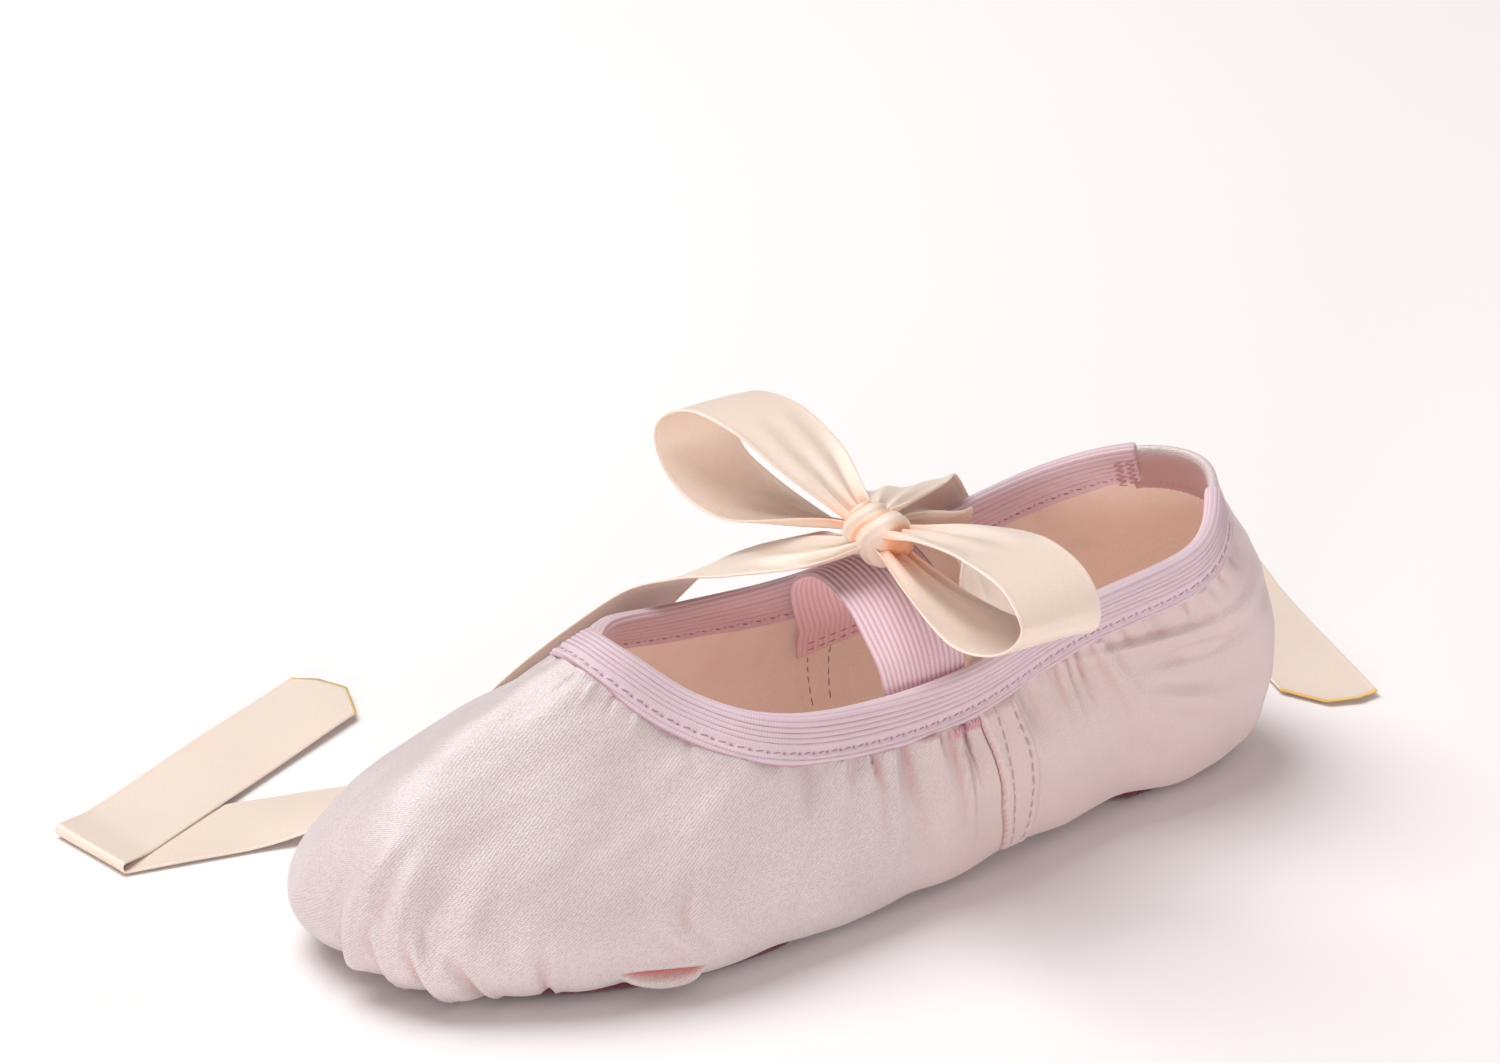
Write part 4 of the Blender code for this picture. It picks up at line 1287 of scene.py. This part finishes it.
STRAP = [
    Stop(10.0, -31.9, 25, 0.13, -1, 0.40),
    Stop(10.0, -29.7, 30, 0.13, -1, 0.45),
    Stop(10.0, -25.3, 36.5, 0.10, -1, 0.30),
    Stop(10.2, -24.4, 42, 0.06, -1, 0.15),
    Stop(10.8, -22.2, 47, -0.05, -1, 0.60),
    Stop(12.2, -16.5, 52, -0.25, -0.6, 1),
    Stop(14.5, -7.0, 56.2, -0.30, -0.2, 1),
    Stop(17.0, 4.0, 57.2, -0.30, 0.05, 1),
    Stop(19.3, 13.2, 54.8, -0.25, 0.35, 1),
    Stop(21.2, 20.1, 49.5, -0.05, 1, 0.8),
    Stop(23.5, 22.8, 43.5, 0.08, 1, 0.2),
    Stop(26.5, 23.3, 36.5, 0.12, 1, 0.30),
    Stop(29.0, 26.2, 31.5, 0.13, 1, 0.50),
    Stop(31.5, 29.3, 26, 0.13, 1, 0.40),
]
NEAR_LEG = [
    Stop(33.5, -30.8, 24, 0.13, -1, 0.35),
    Stop(33.5, -27.8, 30, 0.13, -1, 0.50),
    Stop(33.5, -24.0, 35.5, 0.12, -1, 0.35),
    Stop(33.5, -22.4, 42, 0.10, -1, 0.15),
    Stop(33.5, -20.6, 48, 0, -1, 0.40),
    Stop(33.0, -15.5, 55.5, 0.2, -0.9, 0.8, 0.95),
    Stop(30.5, -9.3, 62.5, 0.6, -0.5, 0.9, 0.7),
    Stop(21.9, -4.8, 66, 0.6, -0.2, 1, 0.38),
    Stop(16.5, -2.0, 66, 0.6, -0.2, 1, 0.32),
]
FAR_LEG = [
    Stop(55.5, 27.1, 26, 0.10, 1, 0.30),
    Stop(53.2, 26.1, 31, 0.10, 1, 0.40),
    Stop(50.6, 23.0, 36.5, 0.08, 1, 0.35),
    Stop(47.8, 21.2, 41.5, 0.05, 1, 0.15),
    Stop(45.2, 20.6, 47, 0.02, 1, 0.30),
    Stop(42.5, 17.8, 52.5, 0.2, 1, 0.60),
    Stop(39.0, 12.8, 58.5, 0.3, 0.9, 0.8, 0.95),
    Stop(32.5, 7.8, 63.5, 0.6, 0.5, 0.9, 0.7),
    Stop(21.9, 4.8, 67, 0.6, 0.2, 1, 0.38),
    Stop(16.5, 2.0, 66, 0.6, 0.2, 1, 0.32),
]
NEAR_LOOP = [
    Stop(15.3, -3.0, 65.2, -0.3, 0, -1, 0.34),
    Stop(14.5, -8.9, 64.2, -0.3, 0, -1, 0.45),
    Stop(14.0, -22.0, 61.5, -0.2, 0, -1, 0.85),
    Stop(14.0, -38.0, 59.5, 0, 0, -1),
    Stop(15.0, -50.0, 61.5, 0, -0.5, -1),
    Stop(16.5, -57.0, 67.5, 0, -1, 0),
    Stop(17.5, -50.5, 74.5, 0, -0.5, 1),
    Stop(17.5, -37.0, 76.5, 0, 0, 1),
    Stop(17.0, -22.0, 74.0, 0, 0.2, 1, 0.85),
    Stop(16.0, -8.9, 69.4, 0, 0.2, 1, 0.45),
    Stop(15.7, -3.0, 67.2, 0, 0.2, 1, 0.34),
]
FAR_LOOP = [
    Stop(15.2, 3.0, 65.4, -0.3, 0, -1, 0.34),
    Stop(14.0, 8.9, 64.6, -0.3, 0, -1, 0.45),
    Stop(11.0, 21.0, 62.5, -0.2, 0.1, -1, 0.85),
    Stop(7.5, 34.0, 62.5, 0, 0.3, -1),
    Stop(5.5, 45.0, 66.5, 0, 0.8, -0.8),
    Stop(5.5, 50.0, 74.0, 0, 1, 0),
    Stop(7.0, 44.0, 80.5, 0, 0.5, 1),
    Stop(10.0, 32.0, 80.5, 0, -0.1, 1),
    Stop(13.0, 19.5, 75.5, 0, -0.3, 1, 0.85),
    Stop(15.0, 8.9, 69.8, 0, -0.3, 1, 0.45),
    Stop(15.5, 3.0, 67.3, 0, -0.3, 1, 0.34),
]
FRONT_END = [
    Stop(13.0, 1.0, 65.0, -0.8, 0.2, 1, 0.34),
    Stop(7.3, 3.9, 63.3, -0.8, 0.2, 1, 0.45),
    Stop(3.0, 11.0, 60.0, -0.5, 0.4, 1, 0.8),
    Stop(-2.5, 20.0, 56.0, -0.3, 0.6, 1),
    Stop(-8.0, 28.5, 51.5, -0.2, 0.8, 0.9),
    Stop(-15.0, 35.8, 44.0, -0.1, 1, 0.5),
    Stop(-26.0, 42.8, 32.0, -0.1, 1, 0.3),
    Stop(-39.0, 48.0, 20.0, -0.1, 1, 0.25),
    Stop(-53.0, 53.0, 10.5, -0.1, 0.8, 0.8),
    Stop(-70.0, 58.0, 3.9, 0, 0.35, 1),
    Stop(-92.0, 62.0, 1.0, 0, 0.05, 1),
    Stop(-115.0, 66.0, 0.9, 0, 0, 1),
    Stop(-150.0, 72.0, 0.9, 0, 0, 1),
    Stop(-190.0, 79.0, 0.9, 0, 0, 1),
    Stop(-222.0, 84.5, 0.9, 0, 0, 1),
]
BACK_END = [
    Stop(16.5, 1.0, 68.5, 0.5, 0.4, 1, 0.34),
    Stop(21.3, 3.4, 70.8, 0.5, 0.4, 1, 0.45),
    Stop(31.5, 12.6, 67.8, 0.3, 0.6, 1, 0.8),
    Stop(40.5, 22.5, 62.0, 0.2, 0.8, 1),
    Stop(50.0, 30.0, 53.8, 0.1, 1, 0.8),
    Stop(59.0, 34.0, 43.0, 0.1, 1, 0.35),
    Stop(71.0, 38.2, 31.0, 0.1, 1, 0.3),
    Stop(84.0, 42.5, 20.0, 0.1, 1, 0.35),
    Stop(98.0, 47.5, 10.5, 0.1, 0.8, 0.8),
    Stop(114.0, 52.5, 3.9, 0, 0.35, 1),
    Stop(134.0, 57.0, 1.0, 0, 0.05, 1),
    Stop(160.0, 61.0, 0.9, 0, 0, 1),
    Stop(200.0, 67.0, 0.9, 0, 0, 1),
    Stop(240.0, 73.0, 0.9, 0, 0, 1),
]
# A free end's fold on the floor: a point of its crease, the crease's angle from the X axis in
# degrees, and the radius of the turn
Fold = namedtuple("Fold", "x y angle radius")
FRONT_FOLD = Fold(-128, 68, 97, 1.0)
BACK_FOLD = Fold(163, 61, -50, 1.0)
KNOT_CENTRE = np.array([15.5, 0, 65.7])

Route = namedtuple("Route", "middle face spread arc")


def band_route(stops, pieces=14):
    """A smooth route through the stops, pieces steps to each."""
    table = np.array(stops, float)
    ends = np.vstack([2 * table[0] - table[1], table, 2 * table[-1] - table[-2]])
    rows = [
        catmull_rom(ends[i], ends[i + 1], ends[i + 2], ends[i + 3], t)
        for i in range(len(table) - 1)
        for t in np.arange(pieces) / pieces
    ]
    rows = np.array([*rows, table[-1]])
    return Route(rows[:, :3], rows[:, 3:6], rows[:, 6], arc_length(rows[:, :3]))


def folded(points, face, fold):
    """Points and face directions on a level band, turned over where they pass the crease.

    The part of the band on the crease's left lies on top, two radii higher."""
    angle = math.radians(fold.angle)
    left = np.array([-math.sin(angle), math.cos(angle), 0])
    past = (points - np.array([fold.x, fold.y, 0])) @ left
    bend = math.pi * fold.radius
    turn = np.clip(past, 0, bend) / fold.radius
    moved = fold.radius * np.sin(turn) - np.clip(past - bend, 0, None) - np.clip(past, 0, None)
    out = points + moved[..., None] * left
    out[..., 2] += fold.radius * (1 - np.cos(turn))
    level, rise = face @ left, face[..., 2]
    turned = face + ((np.cos(turn) - 1) * level - np.sin(turn) * rise)[..., None] * left
    turned[..., 2] += np.sin(turn) * level + (np.cos(turn) - 1) * rise
    return out, turned, past


def band_surface(route, width, arc, share, fold=None):
    """Middle surface, face directions and past-the-crease distances of a band.

    Arc and share, of one shape, are places along and across it, share from -1 to 1."""
    direction = unit(np.gradient(route.middle, axis=0))
    side = unit(np.cross(route.face, direction))
    face = unit(np.cross(direction, side))
    middle, side, face = (along_line(arc, route.arc, rows) for rows in (route.middle, side, face))
    spread = np.interp(arc, route.arc, route.spread)
    points = middle + side * (share * spread * width / 2)[..., None]
    face = unit(face)
    past = np.full(arc.shape, -1e3)
    if fold:
        points, face, past = folded(points, face, fold)
    return points, face, spread, past


def closed_band(name, surface, face, half, arc, off, values):
    """A solid band of half a thickness on both sides of a middle surface, all round its section."""
    top = surface + face * half[..., None]
    bottom = (surface - face * half[..., None])[:, ::-1]
    points = np.concatenate([top, bottom, top[:, :1]], axis=1)

    def round_section(value):
        return np.concatenate([value, value[:, ::-1], value[:, :1]], axis=1)

    uv = np.stack([round_section(arc), round_section(off)], axis=2)
    values = {label: round_section(value) for label, value in values.items()}
    return grid_object(name, points, capped=True, uv=uv, values=values)


STRAP_RIBS = 17
STRAP_ROWS = 140
STRAP_STEPS = 16
STRAP_SPREAD = STRAP_WIDTH - 0.3


def make_strap():
    """The instep elastic, ribbed lengthwise on both faces, with its ends inside the lining."""
    route = band_route(STRAP, STRAP_STEPS)
    arc = np.linspace(0, route.arc[-1], STRAP_ROWS)
    arc, share = np.meshgrid(arc, np.linspace(-1, 1, STRAP_RIBS * 8 + 1), indexing="ij")
    surface, face = band_surface(route, STRAP_SPREAD, arc, share)[:2]
    ribs = 0.5 - 0.5 * np.cos((share + 1) * math.pi * STRAP_RIBS)
    edge = np.sqrt(np.clip((1 - np.abs(share)) * STRAP_WIDTH / 2 / 0.45, 0, 1))
    half = (0.38 + 0.2 * ribs) * (0.35 + 0.65 * edge)
    soft = 0.16 * np.sin(arc / 7.1 + 1.2 * share) + 0.1 * np.sin(arc / 3.7 - 2 * share)
    surface = surface + face * (soft * np.abs(share))[..., None]
    strap = closed_band("ribbed_instep_strap", surface, face, half, arc, share * STRAP_WIDTH / 2,
                        {"rib": ribs, "pinhole": np.zeros_like(ribs)})
    finish_piece(strap, STRAP_ELASTIC, "elastic", "instep_strap")


def strap_stitches():
    """Two rows of stitches across each end of the strap, on its inner face."""
    route = band_route(STRAP, STRAP_STEPS)
    share = np.linspace(-0.88, 0.88, SHORT_LINE)
    end = route.arc[-1]
    stitches = []
    for place in (2.2, 5.0, end - 5.0, end - 2.2):
        arc = np.full(SHORT_LINE, place)
        surface, face = band_surface(route, STRAP_SPREAD, arc, share)[:2]
        stitches += running_stitches(surface - 0.66 * face, -face, 2.5)
    return stitches


RIBBON_THICKNESS = 0.42
RIBBON_STEP = 0.62
RIBBON_COLUMNS = np.concatenate([
    [-1], np.linspace(-0.985, -0.86, 5),
    np.linspace(-0.8, 0.8, 33),
    np.linspace(0.86, 0.985, 5), [1],
])
PICOT_PITCH = 1.15
PLEATS = 2.6  # how many pleats a ribbon has across where it is gathered


def ribbon_relief(share, arc, spread, lying, phase, wave):
    """How far pleats, a shallow cup and slow ripples lift the ribbon from its middle surface."""
    gathered = np.clip(1 - spread, 0, 1)
    slope = 2 * np.sqrt(gathered / (1 - gathered))
    depth = slope * spread * RIBBON_WIDTH / (2 * math.pi * PLEATS)
    cup = (1 - share**2) * 0.55 * np.sin(arc / 23 + phase) * (1 - lying)
    ripple = 0.25 * np.sin(arc / 9.0 + share * 1.3 + phase) * (1 - 0.7 * lying)
    return 0.62 * depth * wave + cup + ripple


def settled(surface, arc, past, lying, phase):
    """A free end let down on the floor, and on itself past its fold, no lower than 0.3 mm."""
    on_itself = np.where(past > 0, 1.35 * smooth(past / 14), 0)
    waver = 1 - 0.5 * (np.sin(arc / 17 + phase) + 1) * smooth((arc - 20) / 60)
    on_floor = 0.55 * lying * waver
    down = surface.copy()
    down[..., 2] -= on_itself + on_floor
    down[..., 2] = np.where(lying > 0, np.maximum(down[..., 2], 0.3), down[..., 2])
    return down


def ribbon_half_thickness(share, arc):
    """Half the ribbon's thickness, more in its looped selvedges and less at its very edge."""
    selvedge = ridge((np.abs(share) - 0.935) / 0.06)
    picot = 0.5 + 0.5 * np.sin(arc * 2 * math.pi / PICOT_PITCH)
    half = RIBBON_THICKNESS / 2 * (1 + 0.55 * selvedge * (0.6 + 0.4 * picot))
    return half * np.where(np.abs(share) > 0.99, 0.3, 1)


def make_ribbon(node, stops, held, fold=None, cut=None, seed=0):
    """One stretch of ribbon, pleated where its stops gather it, with a firm edge on both sides.

    Cut is the length of the corner cut off its last end, on one side of its width."""
    route = band_route(stops)
    along = np.linspace(0, 1, int(route.arc[-1] / RIBBON_STEP))
    along, share = np.meshgrid(along, RIBBON_COLUMNS, indexing="ij")
    length = np.full_like(along, route.arc[-1])
    if cut:
        length -= cut * np.clip(share * 1.8 - 0.4, 0, None) / 1.4
        length -= 0.35 * cut * np.clip(-share * 1.8 - 0.9, 0, None)
    arc = along * length
    surface, face, spread, past = band_surface(route, RIBBON_WIDTH, arc, share, fold)
    lying = smooth((6 - surface[..., 2]) / 5)
    phase = np.random.default_rng(seed).uniform(0, 2 * math.pi)
    wave = np.sin(math.pi * PLEATS * share + phase + arc / 14)
    surface = surface + face * ribbon_relief(share, arc, spread, lying, phase, wave)[..., None]
    if fold:
        surface = settled(surface, arc, past, lying, phase)

    # Painted shade, warm orange, in the pleats where the ribbon is gathered at the knot.
    from_start = smooth((17 - arc) / 15) if held == "gathered" else 0.0
    from_end = smooth((arc - route.arc[-1] + 12) / 10) if stops[-1].spread < 0.6 else 0.0
    painted_shade = np.clip(0.55 * np.maximum(from_start, from_end) * (0.7 - 0.3 * wave), 0, 1)
    cut_edge = 1 - smooth((length - arc - 0.5) / 0.5) if cut else np.zeros_like(arc)
    ribbon = closed_band(node.replace("ribbon", "satin_ribbon"), surface, face,
                         ribbon_half_thickness(share, arc), arc, share * RIBBON_WIDTH / 2,
                         {"painted_shade": painted_shade, "cut_edge": cut_edge})
    finish_piece(ribbon, RIBBON_SATIN, "ribbon", node)


def make_knot():
    """The ribbon pulled tight round the bow's middle: a band of soft folds about the Y axis."""
    angle, across = np.linspace(0, 2 * math.pi, 161), np.linspace(-1, 1, 81)
    angle, across = np.meshgrid(angle, across, indexing="ij")
    end = np.sqrt(np.clip(1 - np.abs(across) ** 4, 0, 1))
    slanted = across + 0.22 * np.sin(angle + 0.9) + 0.07 * np.sin(3 * angle + 2)
    pleats = (
        1.5 * ridge((slanted + 0.45) / 0.62)
        + 1.2 * ridge((slanted - 0.36) / 0.42)
        + 0.5 * ridge((slanted - 0.83) / 0.22)
        - 0.35 * ridge((slanted + 0.12) / 0.16)
    )
    fine = 0.1 * np.sin(slanted * 23 + 2 * np.sin(angle)) * end
    grow = 0.45 + 0.55 * end
    x = (4.6 + 0.8 * pleats + fine) * grow * np.cos(angle)
    z = (5.2 + 0.8 * pleats + fine) * grow * np.sin(angle)
    y = across * 7.4 + 0.5 * np.sin(angle * 2)
    points = KNOT_CENTRE + np.stack([x, y, z], axis=2)
    uv = np.stack([angle * 8, across * 10.5], axis=2)
    # Painted shade, warm orange, in the knot's crevices and where its sides turn in.
    crevice = ridge((slanted + 0.02) / 0.2) + ridge((slanted - 0.68) / 0.12)
    painted_shade = np.clip(0.06 + 0.55 * crevice + 0.8 * smooth((np.abs(across) - 0.72) / 0.3), 0, 1)
    knot = grid_object("satin_ribbon_knot", points, capped=True, uv=uv, flip=True,
                       values={"painted_shade": painted_shade, "cut_edge": np.zeros_like(painted_shade)})
    finish_piece(knot, RIBBON_SATIN, "ribbon", "ribbon_knot")


# ---------------------------------------------------------------- soles and insole

def plate_outline(ends, inset, rounding, rows, rough, seed):
    """X and half width of a flat piece inside the feather line, as in the part's source."""
    line = moved_inward(FEATHER_LINE, inset)
    front = line[0, 0] + 0.2 if ends[0] is None else ends[0]
    back = line[-1, 0] - 0.2 if ends[1] is None else ends[1]
    x = (front + back) / 2 - (back - front) / 2 * np.cos(np.linspace(0.03, math.pi - 0.03, rows))
    half = np.interp(x, line[:, 0], line[:, 1])
    for length, distance in zip(rounding, (x - front, back - x)):
        if length:
            share = np.clip(distance / length, 0, 1)
            half = np.minimum(half, half.max() * np.sqrt(1 - (1 - share) ** 2))
    rng = np.random.default_rng(seed)
    return x, half, rough * rng.standard_normal((rows, 2))


PLATE_ROWS = 220
PLATE_COLUMNS = 43


def plate(ends, inset, bottom, thickness, rounding, rough=0.0, seed=0, edge=0.5):
    """A flat closed piece with softened edges; rough is how ragged its cut edge is."""
    x, half, jag = plate_outline(ends, inset, rounding, PLATE_ROWS, rough, seed)
    share = np.sin(np.linspace(-1, 1, PLATE_COLUMNS) * math.pi / 2)
    ragged = np.where(share[None, :] < 0, jag[:, :1], jag[:, 1:]) * np.abs(share) ** 6
    y = half[:, None] * share + np.sign(share) * ragged
    x = x[:, None] * np.ones_like(y)
    to_end = np.minimum(x - x[0, 0], x[-1, 0] - x) * 1.5 + 0.15
    to_edge = np.minimum(half[:, None] - np.abs(y), to_end)
    rounded = np.sqrt(np.clip(to_edge / edge, 0.0, 1)) * 0.75 + 0.25
    z = (bottom + np.clip(satin_height(x[:, 0]) - BASE, 0, None))[:, None] + thickness / 2
    grain = 0.05 * (np.sin(x / 2.1 + y / 1.7) * np.sin(y / 2.6 - x / 5.3) - 1)
    surface = np.stack([x, y, z + 0 * y], axis=2)
    return surface, (thickness / 2 + grain) * rounded


def flat_piece(name, made_of, slot, node, *size, **looks):
    """A sole patch or insole, with the plate's sizes and looks."""
    surface, half = plate(*size, **looks)
    face = np.broadcast_to(UP, surface.shape)
    piece = closed_band(name, surface, face, half, surface[..., 0], surface[..., 1], {})
    finish_piece(piece, made_of, slot, node)


def make_soles():
    """The two suede patches, their cut edges a little ragged."""
    flat_piece("suede_forefoot_sole", SUEDE_LEATHER, "suede", "forefoot_sole",
               (None, -6), 0.4, 0, SUEDE, (0, 34), rough=0.22, seed=3, edge=0.35)
    flat_piece("suede_heel_sole", SUEDE_LEATHER, "suede", "heel_sole",
               (56, None), 0.4, 0, SUEDE, (22, 0), rough=0.22, seed=5, edge=0.35)


def make_insole():
    """The sock that covers the satin's lapped edges inside."""
    flat_piece("cotton_insole", INSOLE_CLOTH, "lining", "insole",
               (None, None), 0.2, BASE + WALL + GAP, SOCK, (0, 0), edge=1.2)


# ---------------------------------------------------------------- camera, light and floor

def add_camera():
    """The camera, low before the toe on the near side, with its three axes in world directions."""
    right = Vector((0.7983, -0.6000, 0.0525))
    up = Vector((0.2089, 0.3576, 0.9102))
    back = Vector((-0.5649, -0.7156, 0.4108))
    data = bpy.data.cameras.new("camera")
    data.lens = 145
    data.sensor_width = 36
    data.clip_start = 0.05
    data.clip_end = 20
    place = Matrix.Translation((-0.7005, -0.8652, 0.5705))
    camera = linked("camera", data)
    camera.matrix_world = place @ turned_to(right, up, back)
    bpy.context.scene.camera = camera


def add_area_light(name, place, size, power, colour=(1, 1, 1)):
    """A round soft box aimed at the slipper."""
    data = bpy.data.lights.new(name, "AREA")
    data.shape = "DISK"
    data.size = size
    data.energy = power
    data.color = colour
    light = linked(name, data)
    light.location = place
    aim = Vector((0, 0, 0.03)) - Vector(place)
    light.rotation_euler = aim.to_track_quat("-Z", "Y").to_euler()


def add_stage():
    """The floor, the even light of the room, and a large key light with two low fills."""
    bm = bmesh.new()
    bmesh.ops.create_grid(bm, x_segments=1, y_segments=1, size=6)
    mesh = written(bm, bpy.data.meshes.new("floor"))
    mesh.materials.append(new_material("matt white floor", roughness=0.9, specular_ior_level=0.1,
                                       base_color=(0.91, 0.87, 0.865))[0])
    linked("floor", mesh)

    world = bpy.data.worlds.new("studio")
    world.use_nodes = True
    background = world.node_tree.nodes["Background"]
    background.inputs["Color"].default_value = (1, 0.88, 0.87, 1)
    background.inputs["Strength"].default_value = 0.315
    bpy.context.scene.world = world
    add_area_light("key", (-0.32, 0.7, 1.5), 1.4, 28.5, colour=(0.965, 1, 1))
    add_area_light("toe side fill", (-1.25, -1.05, 0.2), 0.45, 12)
    add_area_light("heel side fill", (1.35, -0.85, 0.2), 0.5, 6.8)


add_camera()
make_satin_upper()
make_lining()
make_binding()
make_heel_facing()
make_strap()
for row in (
    ("binding_stitches_outside", binding_stitches(False), 0.2, THREAD, "elastic"),
    ("binding_stitches_inside", binding_stitches(True), 0.2, THREAD, "elastic"),
    ("seam_stitches_near", seam_stitches(-1), 0.19, DARK_THREAD, "satin"),
    ("seam_stitches_far", seam_stitches(1), 0.19, DARK_THREAD, "satin"),
    ("seam_stitches_inside_near", inside_seam_stitches(-1), 0.17, DARK_THREAD, "lining"),
    ("seam_stitches_inside_far", inside_seam_stitches(1), 0.17, DARK_THREAD, "lining"),
    ("heel_tacks", heel_tacks(), 0.17, PINK_THREAD, "elastic"),
    ("bar_tack_near", bar_tack(-1), 0.2, PINK_THREAD, "satin"),
    ("bar_tack_far", bar_tack(1), 0.2, PINK_THREAD, "satin"),
    ("strap_stitches", strap_stitches(), 0.17, PINK_THREAD, "elastic"),
):
    stitch_mesh(*row)
make_soles()
make_insole()
make_ribbon("ribbon_near_leg", NEAR_LEG, "stretched", seed=1)
make_ribbon("ribbon_far_leg", FAR_LEG, "stretched", seed=2)
make_ribbon("ribbon_near_loop", NEAR_LOOP, "gathered", seed=3)
make_ribbon("ribbon_far_loop", FAR_LOOP, "gathered", seed=4)
make_ribbon("ribbon_front_end", FRONT_END, "draped", FRONT_FOLD, cut=9, seed=5)
make_ribbon("ribbon_back_end", BACK_END, "draped", BACK_FOLD, cut=8, seed=6)
make_knot()
add_stage()
bpy.context.scene.view_settings.view_transform = "Standard"
